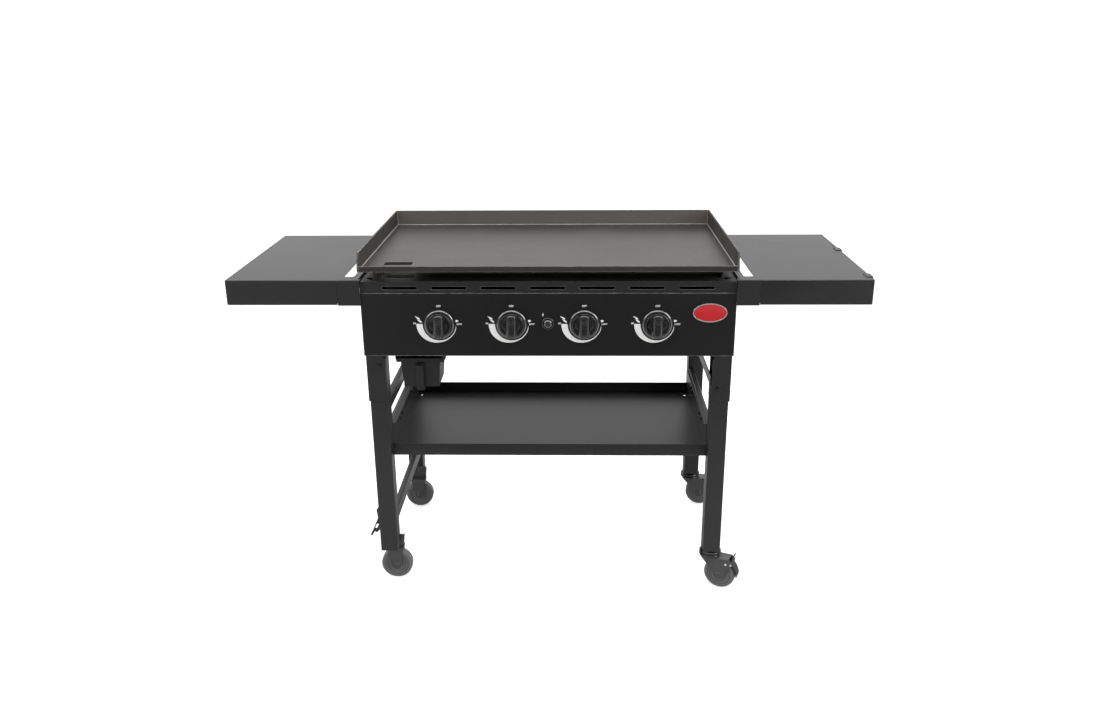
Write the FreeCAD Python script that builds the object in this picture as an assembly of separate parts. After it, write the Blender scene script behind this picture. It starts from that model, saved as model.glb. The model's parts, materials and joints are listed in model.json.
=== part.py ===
"""Outdoor gas griddle station: a flat-top griddle on a wheeled cart with two side shelves.

Millimetres. +X is the user's right, +Y points to the back, +Z up. The origin lies on the
floor, in the middle of the object. Depths are counted from the griddle's front edge and
turned into Y by at(); heights are counted from the floor.
"""

import FreeCAD, Part
import math
import os

V = FreeCAD.Vector

# Overall
OVERALL_HEIGHT = 922.0
OVERALL_HALF_WIDTH = 784.5
FRONT_EDGE_Y = -273.5
BODY_FRONT = 20.0
BODY_BACK = 534.0
BODY_HALF_WIDTH = 456.0
SHEET = 1.5

# Griddle top
GRIDDLE_HALF_WIDTH = 457.0
GRIDDLE_DEPTH = 557.0
PLATE_TOP = 880.0
PLATE_THICKNESS = 4.0
WALL = 4.0
LIP_TOP = 890.5
WALL_NOSE = (14.0, 888.0)
DRAIN_X = (-404.0, -334.0)
DRAIN_DEPTH = (57.0, 89.0)
DRAIN_MARGIN = 3.0
APRON_INSET = 27.0
APRON_DEPTH = (92.0, 522.0)
APRON_THICKNESS = 4.0
PEG_RADIUS = 4.0
PEG_LENGTH = 12.0
PEG_DEPTHS = (60.0, 515.0)

# Body
BODY_TOP = 848.0
STRIP_BOTTOM = 818.0
DECK_DEPTH = 130.0
PAN_LEVEL = 716.0
FLANGE = 40.0
VENT_PITCH = 120.0
VENT_COUNT = 7
VENT_LENGTH = 86.0
VENT_HEIGHT = 7.0
VENT_LEVEL = 831.5
FOLD_RADIUS = 2.0

# Control panel
PANEL_FACE = 17.0
PANEL_HALF_WIDTH = 457.8
PANEL_TOP = 820.0
PANEL_BOTTOM = 658.0
KNOB_X = (-267.0, -89.0, 89.0, 267.0)
KNOB_LEVEL = 740.0
KNOB_RADIUS = 30.5
KNOB_TRAVEL = 3.0
BEZEL_RADIUS = 37.5
STEM_RADIUS = 4.0
RUNNING_FIT = 0.05
IGNITER_LEVEL = 743.0

# Burners and gas pipe
BURNER_RADIUS = 17.0
BURNER_LEVEL = 776.0
BURNER_END = 505.0
MANIFOLD_DEPTH = 55.0
MANIFOLD_RADIUS = 9.0
MANIFOLD_LEVEL = 712.0
INLET_DEPTH = 112.0
INLET_RADIUS = 8.0

# Grease cup
CUP_TOP = 648.0
CUP_X = (-370.0, -270.0)
CUP_DEPTH = (26.0, 130.0)
CUP_HEIGHT = 76.0
CUP_TAPER = 6.0
CUP_WALL = 1.5
CUP_RIM = 10.0

# Side shelves
SHELF_INNER = 460.0
SHELF_FRONT = 11.0
SHELF_BACK = 534.0
SHELF_TOP = 853.5
SHELF_SKIRT = 62.0
SHELF_INNER_SKIRT = 25.0
ARM_DEPTH = 22.0
SKIRT_START = 512.0
SLOT_X = (476.0, 499.0)
SLOT_DEPTH = (47.0, 498.0)
TOOL_CLIP = 2.0
CLIP_DEPTHS = (36.0, 322.0)
CLIP_LENGTH = 32.0
CLIP_REACH = 14.0
CLIP_SEAT = 0.4

# Leg frames
LEG = 45.0
LEG_WALL = 1.5
LEG_OUTER = 452.0
LEG_FRONT = 20.0
LEG_BACK = 534.0
LEG_BOTTOM = 105.0
LEG_CROWN = 21.0
SLEEVE_BOTTOM = 537.0
SLEEVE_RISE = 30.0
SLEEVE_SHEET = 2.0
SLEEVE_FIT = 0.3
PIVOT_X = 422.5
PIVOT_HOLE = 4.2
LEFT_PIVOT = 635.0
RIGHT_PIVOT = 574.0
RAIL_WIDTH = 16.0
RAIL_HEIGHT = 32.0
UPPER_RAIL = 502.0
MID_RAIL = 424.0
LOWER_RAIL = 182.5
CROSS_BAR = (577.0, 602.0)
CROSS_BAR_SHEET = 3.0

# Bottom shelf
TRAY_FLOOR = 373.5
TRAY_LIP = 33.0
TRAY_SIDE = 81.5
TRAY_HEM = 6.0
TRAY_DEPTH = (48.0, 502.0)
SHELF_BOLT = 434.0
SHELF_BOLT_DEPTHS = (157.0, 193.0, 357.0, 393.0)

# Wheels
WHEEL_RADIUS = 42.0
WHEEL_WIDTH = 25.0
AXLE_RADIUS = 4.0
FIXED_X = -420.0
FIXED_OFFSET = 28.0
CHEEK = 2.5
FORK_TOP = 91.0
PLATE_HEIGHT = 130.0
BRAKE_PIN_REACH = 48.0
BRAKE_REACH = 46.0
TRAIL = 30.0
FRONT_CASTER_TURN = -24.0
BACK_CASTER_TURN = -9.0


def at(depth):
    """Y of a point this far behind the griddle's front edge."""
    return FRONT_EDGE_Y + depth


LEG_INNER = LEG_OUTER - LEG
LEG_AXIS_X = LEG_OUTER - LEG / 2
FRONT_LEG_AXIS = at(LEG_FRONT + LEG / 2)
BACK_LEG_AXIS = at(LEG_BACK - LEG / 2)


def block(x0, x1, y0, y1, z0, z1):
    return Part.makeBox(x1 - x0, y1 - y0, z1 - z0, V(x0, y0, z0))


def rod(radius, start, end):
    run = end - start
    return Part.makeCylinder(radius, run.Length, start, run)


def polygon(points):
    return Part.Face(Part.makePolygon(points + points[:1]))


def outline_yz(points, x0, x1):
    """Solid with a (depth, height) outline, between two X planes."""
    face = polygon([V(x0, at(depth), height) for depth, height in points])
    return face.extrude(V(x1 - x0, 0, 0))


def outline_xz(points, y0, y1):
    """Solid with an (x, height) outline, between two Y planes."""
    face = polygon([V(x, y0, height) for x, height in points])
    return face.extrude(V(0, y1 - y0, 0))


def revolved(profile, origin, axis):
    """Full turn of a closed (radius, distance along the axis) profile."""
    face = polygon([V(radius, 0, along) for radius, along in profile])
    solid = face.revolve(V(0, 0, 0), V(0, 0, 1), 360)
    solid.Placement = FreeCAD.Placement(origin, FreeCAD.Rotation(V(0, 0, 1), axis))
    return solid


def slot(x0, x1, z0, z1, y0, y1):
    """Long round-ended slot along X, cut through from y0 to y1."""
    radius = (z1 - z0) / 2
    middle = (z0 + z1) / 2
    body = block(x0 + radius, x1 - radius, y0, y1, z0, z1)
    ends = [rod(radius, V(x, y0, middle), V(x, y1, middle)) for x in (x0 + radius, x1 - radius)]
    return body.multiFuse(ends)


def rounded_block(x0, x1, y0, y1, z0, z1, radius):
    """Block with its upright edges rounded."""
    solid = block(x0, x1, y0, y1, z0, z1)
    upright = [edge for edge in solid.Edges if abs(edge.tangentAt(edge.FirstParameter).z) > 0.99]
    return solid.makeFillet(radius, upright)


def mirrored(solid):
    return solid.mirror(V(0, 0, 0), V(1, 0, 0))


def joined(solids):
    """One solid from touching pieces."""
    return solids[0].multiFuse(solids[1:]).removeSplitter()


def save(name, shape):
    """Write one node. A list of separate solids becomes one compound."""
    if isinstance(shape, list):
        shape = Part.makeCompound(shape)
    shape.exportStep("parts/" + name + ".step")


def round_fold(sheet, depth, level):
    """Round the long outer edge of a folded sheet that runs along X at this depth and height."""
    fold = [edge for edge in sheet.Edges
            if edge.BoundBox.XLength > 100 and abs(edge.BoundBox.YMin - at(depth)) < 0.01
            and edge.BoundBox.YLength < 0.01 and abs(edge.BoundBox.ZMin - level) < 0.01]
    return sheet.makeFillet(FOLD_RADIUS, fold)


def griddle_plate():
    """Flat plate inside the four walls, with the drain slot near its front left corner."""
    half = GRIDDLE_HALF_WIDTH - WALL
    plate = block(-half, half, at(WALL), at(GRIDDLE_DEPTH - WALL), PLATE_TOP - PLATE_THICKNESS, PLATE_TOP)
    hole = rounded_block(DRAIN_X[0], DRAIN_X[1], at(DRAIN_DEPTH[0]), at(DRAIN_DEPTH[1]),
                         PLATE_TOP - 20, PLATE_TOP + 5, 8)
    return plate.cut(hole)


def griddle_walls():
    """Tall back wall, two side walls with a sloped nose, and the low front lip, round the plate."""
    half = GRIDDLE_HALF_WIDTH
    inner = half - WALL
    low = PLATE_TOP - PLATE_THICKNESS
    back = block(-half, half, at(GRIDDLE_DEPTH - WALL), at(GRIDDLE_DEPTH), low, OVERALL_HEIGHT)
    side = [(0, low), (0, WALL_NOSE[1]), (WALL_NOSE[0], OVERALL_HEIGHT),
            (GRIDDLE_DEPTH - WALL, OVERALL_HEIGHT), (GRIDDLE_DEPTH - WALL, low)]
    right = outline_yz(side, inner, half)
    lip = block(-inner, inner, at(0), at(WALL), low, LIP_TOP)
    lip = lip.makeFillet(1.5, [edge for edge in lip.Edges if is_top_edge(edge, LIP_TOP)])
    save("griddle_back_wall", back)
    save("griddle_right_wall", right)
    save("griddle_left_wall", mirrored(right))
    save("griddle_front_lip", lip)


def is_top_edge(edge, level):
    """Long edge that runs along X at this height."""
    box = edge.BoundBox
    return abs(box.ZMin - level) < 0.01 and box.ZLength < 0.01 and box.XLength > box.YLength


def griddle_apron():
    """Frame welded under the plate, behind the drain slot. Its side bars run forward past the slot
    and carry the front two of four pegs, which sit in holes of the body's flanges."""
    x = GRIDDLE_HALF_WIDTH - APRON_INSET
    t = APRON_THICKNESS
    nose = at(PEG_DEPTHS[0] - PEG_RADIUS)
    front, back = at(APRON_DEPTH[0]), at(APRON_DEPTH[1])
    top = PLATE_TOP - PLATE_THICKNESS
    frame = joined([block(-x, -x + t, nose, back, BODY_TOP, top),
                    block(x - t, x, nose, back, BODY_TOP, top),
                    block(-x, x, front, front + t, BODY_TOP, top),
                    block(-x, x, back - t, back, BODY_TOP, top)])
    for index in range(5):
        centre = (index - 2) * 160
        frame = frame.cut(slot(centre - 55, centre + 55, BODY_TOP + 8, BODY_TOP + 18, back - 10, back + 5))
    pegs = [rod(PEG_RADIUS, V(px, py, BODY_TOP - PEG_LENGTH), V(px, py, BODY_TOP + 8))
            for px, py in peg_places()]
    return frame.multiFuse(pegs)


def peg_places():
    x = GRIDDLE_HALF_WIDTH - APRON_INSET - APRON_THICKNESS
    return [(side * x, at(depth)) for side in (-1, 1) for depth in PEG_DEPTHS]


def peg_holes(solid):
    for px, py in peg_places():
        solid = solid.cut(rod(PEG_RADIUS + 1.5, V(px, py, BODY_TOP - 20), V(px, py, BODY_TOP + 5)))
    return solid


def body_front():
    """Folded sheet: vent strip, deck over the valve space, wall in front of the burners."""
    t = SHEET
    half = BODY_HALF_WIDTH - SHEET
    deck = DECK_DEPTH
    profile = [(BODY_FRONT, STRIP_BOTTOM), (BODY_FRONT, BODY_TOP), (deck, BODY_TOP),
               (deck, PANEL_BOTTOM), (deck - 14, PANEL_BOTTOM), (deck - 14, PANEL_BOTTOM + t),
               (deck - t, PANEL_BOTTOM + t), (deck - t, BODY_TOP - t), (BODY_FRONT + t, BODY_TOP - t),
               (BODY_FRONT + t, STRIP_BOTTOM)]
    sheet = round_fold(outline_yz(profile, -half, half), BODY_FRONT, BODY_TOP)
    y0 = at(BODY_FRONT - 2)
    y1 = at(BODY_FRONT + 4)
    for index in range(VENT_COUNT):
        centre = (index - (VENT_COUNT - 1) / 2) * VENT_PITCH
        sheet = sheet.cut(slot(centre - VENT_LENGTH / 2, centre + VENT_LENGTH / 2,
                               VENT_LEVEL - VENT_HEIGHT / 2, VENT_LEVEL + VENT_HEIGHT / 2, y0, y1))
    for x in KNOB_X:
        near, far = V(x, at(deck - 6), KNOB_LEVEL), V(x, at(deck + 6), KNOB_LEVEL)
        sheet = sheet.cut(rod(BURNER_RADIUS + 1.5, near, far))
    m = DRAIN_MARGIN
    drain = block(DRAIN_X[0] - m, DRAIN_X[1] + m, at(DRAIN_DEPTH[0] - m), at(DRAIN_DEPTH[1] + m),
                  BODY_TOP - 10, BODY_TOP + 10)
    return peg_holes(sheet.cut(drain))


def body_side():
    """Right side wall with its top flange folded inwards."""
    t = SHEET
    outer = BODY_HALF_WIDTH
    wall = block(outer - t, outer, at(BODY_FRONT), at(BODY_BACK), PANEL_BOTTOM, BODY_TOP)
    flange = block(outer - FLANGE, outer - t, at(DECK_DEPTH), at(BODY_BACK - t), BODY_TOP - t, BODY_TOP)
    return peg_holes(joined([wall, flange]))


def body_back():
    """Back wall with a top flange and the same row of vents as the front."""
    t = SHEET
    half = BODY_HALF_WIDTH - t
    wall = block(-half, half, at(BODY_BACK - t), at(BODY_BACK), PAN_LEVEL - 20, BODY_TOP)
    inner = half - FLANGE + t
    flange = block(-inner, inner, at(BODY_BACK - FLANGE), at(BODY_BACK - t), BODY_TOP - t, BODY_TOP)
    sheet = joined([wall, flange])
    for index in range(VENT_COUNT):
        centre = (index - (VENT_COUNT - 1) / 2) * VENT_PITCH
        sheet = sheet.cut(slot(centre - VENT_LENGTH / 2, centre + VENT_LENGTH / 2,
                               VENT_LEVEL - 8, VENT_LEVEL + 6, at(BODY_BACK - 5), at(BODY_BACK + 2)))
    return sheet


def body_pan():
    """Heat shield under the burners, with a long air slot below each one."""
    t = SHEET
    half = BODY_HALF_WIDTH - t
    pan = block(-half, half, at(DECK_DEPTH), at(BODY_BACK - t), PAN_LEVEL, PAN_LEVEL + t)
    for x in KNOB_X:
        pan = pan.cut(rounded_block(x - 15, x + 15, at(DECK_DEPTH + 70), at(BODY_BACK - 60),
                                    PAN_LEVEL - 5, PAN_LEVEL + 5, 14))
    return pan


def control_panel():
    """Folded front panel with a top ledge, a bottom return and the holes for the controls."""
    t = 2.0
    half = PANEL_HALF_WIDTH
    face = PANEL_FACE
    profile = [(face, PANEL_BOTTOM), (face, PANEL_TOP), (BODY_FRONT, PANEL_TOP),
               (BODY_FRONT, PANEL_TOP - t), (face + t, PANEL_TOP - t), (face + t, PANEL_BOTTOM + t),
               (face + 45, PANEL_BOTTOM + t), (face + 45, PANEL_BOTTOM)]
    inner = BODY_HALF_WIDTH - SHEET
    sheet = outline_yz(profile, -inner, inner)
    for side in (-1, 1):
        x0, x1 = sorted((side * inner, side * half))
        sheet = sheet.fuse(block(x0, x1, at(face), at(BODY_FRONT), PANEL_BOTTOM, PANEL_TOP))
    sheet = sheet.removeSplitter()
    for level in (PANEL_TOP, PANEL_BOTTOM):
        sheet = round_fold(sheet, face, level)
    for x in KNOB_X:
        sheet = sheet.cut(rod(14, V(x, at(face - 5), KNOB_LEVEL), V(x, at(face + 10), KNOB_LEVEL)))
    igniter = rod(12.5, V(0, at(face - 5), IGNITER_LEVEL), V(0, at(face + 10), IGNITER_LEVEL))
    return sheet.cut(igniter)


def burner(x):
    """Round tube burner: air shutter end at the valve, a rise, then a straight run to the back."""
    low = KNOB_LEVEL
    start = at(DECK_DEPTH - 42)
    bend_start = at(DECK_DEPTH + 12)
    rise = BURNER_LEVEL - low
    bend = 30.0
    # Two equal arcs, tangent to each other, lift the tube by the rise.
    angle = math.acos(1 - rise / (2 * bend))
    step = bend * math.sin(angle)
    half_angle = angle / 2
    first_mid = V(x, bend_start + bend * math.sin(half_angle), low + bend * (1 - math.cos(half_angle)))
    centre = V(x, bend_start + step, low + rise / 2)
    end = V(x, bend_start + 2 * step, BURNER_LEVEL)
    second_mid = V(x, end.y - bend * math.sin(half_angle), BURNER_LEVEL - bend * (1 - math.cos(half_angle)))
    edges = [Part.LineSegment(V(x, start, low), V(x, bend_start, low)).toShape(),
             Part.Arc(V(x, bend_start, low), first_mid, centre).toShape(),
             Part.Arc(centre, second_mid, end).toShape(),
             Part.LineSegment(end, V(x, at(BURNER_END), BURNER_LEVEL)).toShape()]
    path = Part.Wire(edges)
    ring = Part.Wire(Part.makeCircle(BURNER_RADIUS, V(x, start, low), V(0, 1, 0)))
    tube = path.makePipeShell([ring], True, False)
    throat = rod(BURNER_RADIUS - 3, V(x, start - 1, low), V(x, start + 30, low))
    tab = block(x - 10, x + 10, at(BURNER_END), at(BURNER_END) + 27.5, BURNER_LEVEL - 10, BURNER_LEVEL - 8)
    return tube.cut(throat).fuse(tab)


def gas_manifold():
    """Gas pipe under the valves, bent back to the inlet, with one valve body and jet per burner."""
    depth = at(MANIFOLD_DEPTH)
    level = KNOB_LEVEL
    low = MANIFOLD_LEVEL
    right = KNOB_X[-1] + 30
    bend = (INLET_DEPTH - MANIFOLD_DEPTH) / 2
    turn = -375.0
    half = bend * math.sqrt(0.5)
    start, first = V(right, depth, low), V(turn, depth, low)
    middle = V(turn - bend, depth + bend, low)
    last = V(turn - 2 * bend, depth + 2 * bend, low)
    end = V(-BODY_HALF_WIDTH + SHEET, last.y, low)
    first_mid = V(turn - half, depth + bend - half, low)
    second_mid = V(turn - 2 * bend + half, depth + bend + half, low)
    path = Part.Wire([Part.LineSegment(start, first).toShape(), Part.Arc(first, first_mid, middle).toShape(),
                      Part.Arc(middle, second_mid, last).toShape(), Part.LineSegment(last, end).toShape()])
    ring = Part.Wire(Part.makeCircle(MANIFOLD_RADIUS, start, V(-1, 0, 0)))
    pipe = path.makePipeShell([ring], True, False)
    pieces = [pipe, rod(MANIFOLD_RADIUS + 2, V(right - 8, depth, low), V(right + 4, depth, low))]
    for x in KNOB_X:
        body = rounded_block(x - 14, x + 14, at(28), at(66), low - 11, level + 14, 5)
        jet = rod(6, V(x, at(66), level), V(x, at(DECK_DEPTH - 30), level))
        nose = rod(10, V(x, at(PANEL_FACE + 2.5), level), V(x, at(28), level))
        pieces += [body, jet, nose]
    bank = joined(pieces)
    for x in KNOB_X:
        bore = rod(STEM_RADIUS + RUNNING_FIT, V(x, at(PANEL_FACE - 5), level), V(x, at(46), level))
        bank = bank.cut(bore)
    return bank


def gas_inlet():
    """Flare fitting on the left end of the gas pipe, outside the side wall."""
    level = MANIFOLD_LEVEL
    depth = at(INLET_DEPTH)
    left = -BODY_HALF_WIDTH
    hexagon = [V(left, depth + 11 * math.cos(a), level + 11 * math.sin(a))
               for a in (math.pi / 3 * i for i in range(6))]
    nut = polygon(hexagon).extrude(V(-6, 0, 0))
    thread = revolved([(0, 6), (INLET_RADIUS, 6), (INLET_RADIUS, 18), (5, 21), (0, 21)],
                      V(left, depth, level), V(-1, 0, 0))
    spigot = rod(INLET_RADIUS, V(left + SHEET, depth, level), V(left, depth, level))
    return joined([nut, thread, spigot])


def bezels():
    rings = []
    for x in KNOB_X:
        outer = BEZEL_RADIUS
        profile = [(outer - 5, 0), (outer, 0), (outer, 2), (outer - 1.2, 5), (outer - 3, 6),
                   (outer - 5, 4.5)]
        rings.append(revolved(profile, V(x, at(PANEL_FACE), KNOB_LEVEL), V(0, -1, 0)))
    return rings


def knob_stem(x):
    """Valve stem with a flat for the knob. Its collar turns in front of the valve's nose."""
    y0 = at(PANEL_FACE - 14)
    y1 = at(44)
    shaft = rod(STEM_RADIUS, V(x, y0, KNOB_LEVEL), V(x, y1, KNOB_LEVEL))
    flat = block(x - 10, x + 10, y0 - 1, at(PANEL_FACE - 0.5),
                 KNOB_LEVEL + STEM_RADIUS - 1.5, KNOB_LEVEL + 10)
    collar = rod(7, V(x, at(PANEL_FACE - 0.5), KNOB_LEVEL), V(x, at(PANEL_FACE + 1.5), KNOB_LEVEL))
    return shaft.cut(flat).fuse(collar)


def knob(x):
    """Turned skirt with a raised rim and a tapered grip bar lofted across it."""
    back = at(PANEL_FACE - KNOB_TRAVEL - 1)
    r = KNOB_RADIUS
    profile = [(0, 0), (r - 1, 0), (r, 1), (r, 6.5), (r - 1.6, 8), (r - 3.2, 7), (r - 5, 5.5), (0, 5.5)]
    skirt = revolved(profile, V(x, back, KNOB_LEVEL), V(0, -1, 0))
    base = grip_outline(x, back - 4, 12.5, 29.5)
    top = grip_outline(x, back - 23, 9.5, 27.5)
    grip = Part.makeLoft([base, top], True, True)
    front = [edge for edge in grip.Edges if edge.BoundBox.YMax < back - 22.9]
    grip = grip.makeFillet(1.8, front)
    body = skirt.fuse(grip).removeSplitter()
    pointer = block(x - 1, x + 1, back - 30, back - 22, KNOB_LEVEL + 12, KNOB_LEVEL + 24)
    bore = rod(STEM_RADIUS + RUNNING_FIT, V(x, back + 1, KNOB_LEVEL), V(x, back - 16, KNOB_LEVEL))
    key = block(x - 10, x + 10, back - 20, back + 2,
                KNOB_LEVEL + STEM_RADIUS - 1.5 + RUNNING_FIT, KNOB_LEVEL + 10)
    return body.cut(bore.cut(key)).cut(pointer)


def grip_outline(x, y, half_width, half_length):
    """Long oval across the knob: straight sides and arc ends, on a plane of constant Y."""
    level = KNOB_LEVEL
    side = half_length * 0.86
    corners = [V(x - half_width, y, level - side), V(x - half_width, y, level + side),
               V(x + half_width, y, level + side), V(x + half_width, y, level - side)]
    edges = [Part.LineSegment(corners[0], corners[1]).toShape(),
             Part.Arc(corners[1], V(x, y, level + half_length), corners[2]).toShape(),
             Part.LineSegment(corners[2], corners[3]).toShape(),
             Part.Arc(corners[3], V(x, y, level - half_length), corners[0]).toShape()]
    return Part.Wire(edges)


def igniter_collar():
    profile = [(11, 0), (16, 0), (16, 1.5), (13.5, 5), (11, 5)]
    return revolved(profile, V(0, at(PANEL_FACE), IGNITER_LEVEL), V(0, -1, 0))


def igniter_button():
    """Domed cap on a stem that slides in the spark module."""
    front = at(PANEL_FACE)
    dome = [(0, -3), (8, -3), (10.4, -3), (10.4, 9), (9.4, 11), (6.5, 12.6), (3, 13.4), (0, 13.6)]
    cap = revolved(dome, V(0, front, IGNITER_LEVEL), V(0, -1, 0))
    stem = rod(4, V(0, front + 3, IGNITER_LEVEL), V(0, front + 22, IGNITER_LEVEL))
    return cap.fuse(stem)


def igniter_module():
    """Battery case behind the panel, hollow for the button's stroke."""
    front = at(PANEL_FACE + 2)
    profile = [(11.2, 0), (17, 0), (17, 4), (15, 4), (15, 48), (0, 48), (0, 38), (4.2, 38),
               (4.2, 14), (11.2, 14)]
    return revolved(profile, V(0, front, IGNITER_LEVEL), V(0, 1, 0))


def badge_plate():
    """Plain pill-shaped enamel plate on the right of the panel."""
    x0, x1 = 352.0, 436.0
    z0, z1 = 746.0, 794.0
    plate = slot(x0, x1, z0, z1, at(PANEL_FACE - 3), at(PANEL_FACE))
    front = [edge for edge in plate.Edges if edge.BoundBox.YMax < at(PANEL_FACE - 2.9)]
    return plate.makeFillet(1.2, front)


def cup_shell(x0, x1, y0, y1, top, height, inset):
    """Solid that tapers from a rectangle at the top to a smaller one."""

    def rim(grow, level):
        corners = [V(x0 + grow, y0 + grow, level), V(x1 - grow, y0 + grow, level),
                   V(x1 - grow, y1 - grow, level), V(x0 + grow, y1 - grow, level)]
        return Part.makePolygon(corners + corners[:1])

    upper = rim(0, top)
    lower = rim(inset, top - height)
    return Part.makeLoft([upper, lower], True, True)


def grease_cup():
    """Tapered sheet cup with a rim that hangs in two rails and a folded front lip."""
    x0, x1 = CUP_X
    y0, y1 = at(CUP_DEPTH[0]), at(CUP_DEPTH[1])
    w = CUP_WALL
    outer = cup_shell(x0, x1, y0, y1, CUP_TOP, CUP_HEIGHT, CUP_TAPER)
    inner = cup_shell(x0 + w, x1 - w, y0 + w, y1 - w, CUP_TOP, CUP_HEIGHT - w, CUP_TAPER)
    rim = block(x0 - CUP_RIM, x1 + CUP_RIM, y0 - 3, y1, CUP_TOP - w, CUP_TOP)
    lip = block(x0 - CUP_RIM, x1 + CUP_RIM, y0 - 3, y0 - 3 + w, CUP_TOP - 8, CUP_TOP + 2)
    cup = joined([outer, rim, lip]).cut(inner)
    mouth = block(x0 + w, x1 - w, y0 + w, y1 - w, CUP_TOP - w - 0.5, CUP_TOP + 5)
    return cup.cut(mouth)


def cup_handle():
    """Bent strap down the front of the cup, with a ledge at the top and a lip at the bottom."""
    x0, x1 = -330.0, -312.0
    front = CUP_DEPTH[0]
    slope = CUP_TAPER / CUP_HEIGHT
    top = CUP_TOP - 12
    low = CUP_TOP - CUP_HEIGHT

    def wall(height):
        return front + (CUP_TOP - height) * slope

    profile = [(wall(top), top), (wall(top) - 14, top - 3), (wall(low) - 14, low - 3),
               (wall(low) - 14, low - 5), (wall(low) + 6, low - 5), (wall(low) + 6, low),
               (wall(low) + 2, low), (wall(low) + 2, low - 3), (wall(low) - 12, low - 3),
               (wall(top) - 12, top - 5), (wall(top - 3), top - 3)]
    return outline_yz(profile, x0, x1)


def cup_rails():
    """Plate under the panel with two channels that the cup's rim slides in."""
    x0, x1 = CUP_X[0] - CUP_RIM, CUP_X[1] + CUP_RIM
    y0, y1 = at(CUP_DEPTH[0] + 1), at(CUP_DEPTH[1] + 4)
    t = SHEET
    top = PANEL_BOTTOM
    gap = 1.0
    low = CUP_TOP - CUP_WALL - 0.3
    plate = block(x0 - gap - t, x1 + gap + t, y0, y1, top - t, top)
    hole = block(CUP_X[0] + 8, CUP_X[1] - 8, at(66), at(CUP_DEPTH[1] - 8), top - 5, top + 5)
    pieces = [plate.cut(hole)]
    for outer, inner in ((x0 - gap - t, x0 + 6), (x1 + gap + t, x1 - 6)):
        web = sorted((outer, outer + t * math.copysign(1, inner - outer)))
        pieces.append(block(web[0], web[1], y0, y1, low - t, top - t))
        shelf = sorted((outer, inner))
        pieces.append(block(shelf[0], shelf[1], y0, y1, low - t, low))
    stop = block(x0 + 20, x1 - 20, y1 - t, y1, CUP_TOP - 8, top - t)
    pieces.append(stop)
    return joined(pieces)


def drain_chute():
    """Funnel from the griddle's drain slot to the cup, lofted and hollow."""
    def mouth(x0, x1, d0, d1, level):
        return Part.makePolygon([V(x0, at(d0), level), V(x1, at(d0), level), V(x1, at(d1), level),
                                 V(x0, at(d1), level), V(x0, at(d0), level)])

    t = SHEET
    top = BODY_TOP - SHEET
    low = CUP_TOP + 4
    rim = DRAIN_MARGIN + t
    upper = (DRAIN_X[0] - rim, DRAIN_X[1] + rim, DRAIN_DEPTH[0] - rim, DRAIN_DEPTH[1] + rim)
    lower = (-350.0, -300.0, 78.0, 108.0)

    def funnel(inset, grow):
        slope = [(b - a) / (top - low) for a, b in zip(upper, lower)]
        up = [a - s * grow for a, s in zip(upper, slope)]
        down = [b + s * grow for b, s in zip(lower, slope)]
        rims = [(e[0] + inset, e[1] - inset, e[2] + inset, e[3] - inset) for e in (up, down)]
        return Part.makeLoft([mouth(*rims[0], top + grow), mouth(*rims[1], low - grow)], True, True)

    return funnel(0, 0).cut(funnel(t, 2.0))


def side_shelf(sign):
    """Folded tray, open below: top, three deep skirts with rounded corners, a low skirt along the
    body, and the long slot. The right one has two shallow seats for the hook strip's clips."""
    outer_x = OVERALL_HALF_WIDTH - (TOOL_CLIP if sign > 0 else 0)
    t = SHEET
    y0, y1 = at(SHELF_FRONT), at(SHELF_BACK)
    low = SHELF_TOP - SHELF_SKIRT
    shell = block(SHELF_INNER, outer_x, y0, y1, low, SHELF_TOP)
    far = [edge for edge in shell.Edges
           if abs(edge.BoundBox.XMin - outer_x) < 0.01 and edge.BoundBox.ZLength > 10]
    shell = shell.makeFillet(5, far)
    rim = [edge for edge in shell.Edges if edge.BoundBox.ZLength < 0.01
           and abs(edge.BoundBox.ZMin - SHELF_TOP) < 0.01 and edge.BoundBox.XMax > SHELF_INNER + 1]
    shell = shell.makeFillet(2.5, rim)
    hollow = block(SHELF_INNER - 1, outer_x - t, y0 + t, y1 - t, low - 1, SHELF_TOP - t)
    inner_far = [edge for edge in hollow.Edges
                 if abs(edge.BoundBox.XMin - (outer_x - t)) < 0.01 and edge.BoundBox.ZLength > 10]
    hollow = hollow.makeFillet(3.5, inner_far)
    shelf = shell.cut(hollow)
    notch = [block(SHELF_INNER - 1, SKIRT_START, a, b, low - 1, SHELF_TOP - t)
             for a, b in ((y0 - 1, y0 + t + 1), (y1 - t - 1, y1 + 1))]
    shelf = shelf.cut(notch[0]).cut(notch[1])
    grip = rounded_block(SLOT_X[0], SLOT_X[1], at(SLOT_DEPTH[0]), at(SLOT_DEPTH[1]),
                         SHELF_TOP - 10, SHELF_TOP + 10, 6)
    shelf = shelf.cut(grip)
    skirt = block(SHELF_INNER, SHELF_INNER + t, y0 + ARM_DEPTH + 1, y1 - ARM_DEPTH - 1,
                  SHELF_TOP - SHELF_INNER_SKIRT, SHELF_TOP - t)
    shelf = joined([shelf, skirt])
    if sign < 0:
        return mirrored(shelf)
    for depth in CLIP_DEPTHS:
        shelf = shelf.cut(block(outer_x - CLIP_REACH - 0.5, outer_x + 1, at(depth - 0.5),
                                at(depth + CLIP_LENGTH + 0.5), SHELF_TOP - CLIP_SEAT, SHELF_TOP + 1))
    return shelf


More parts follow.
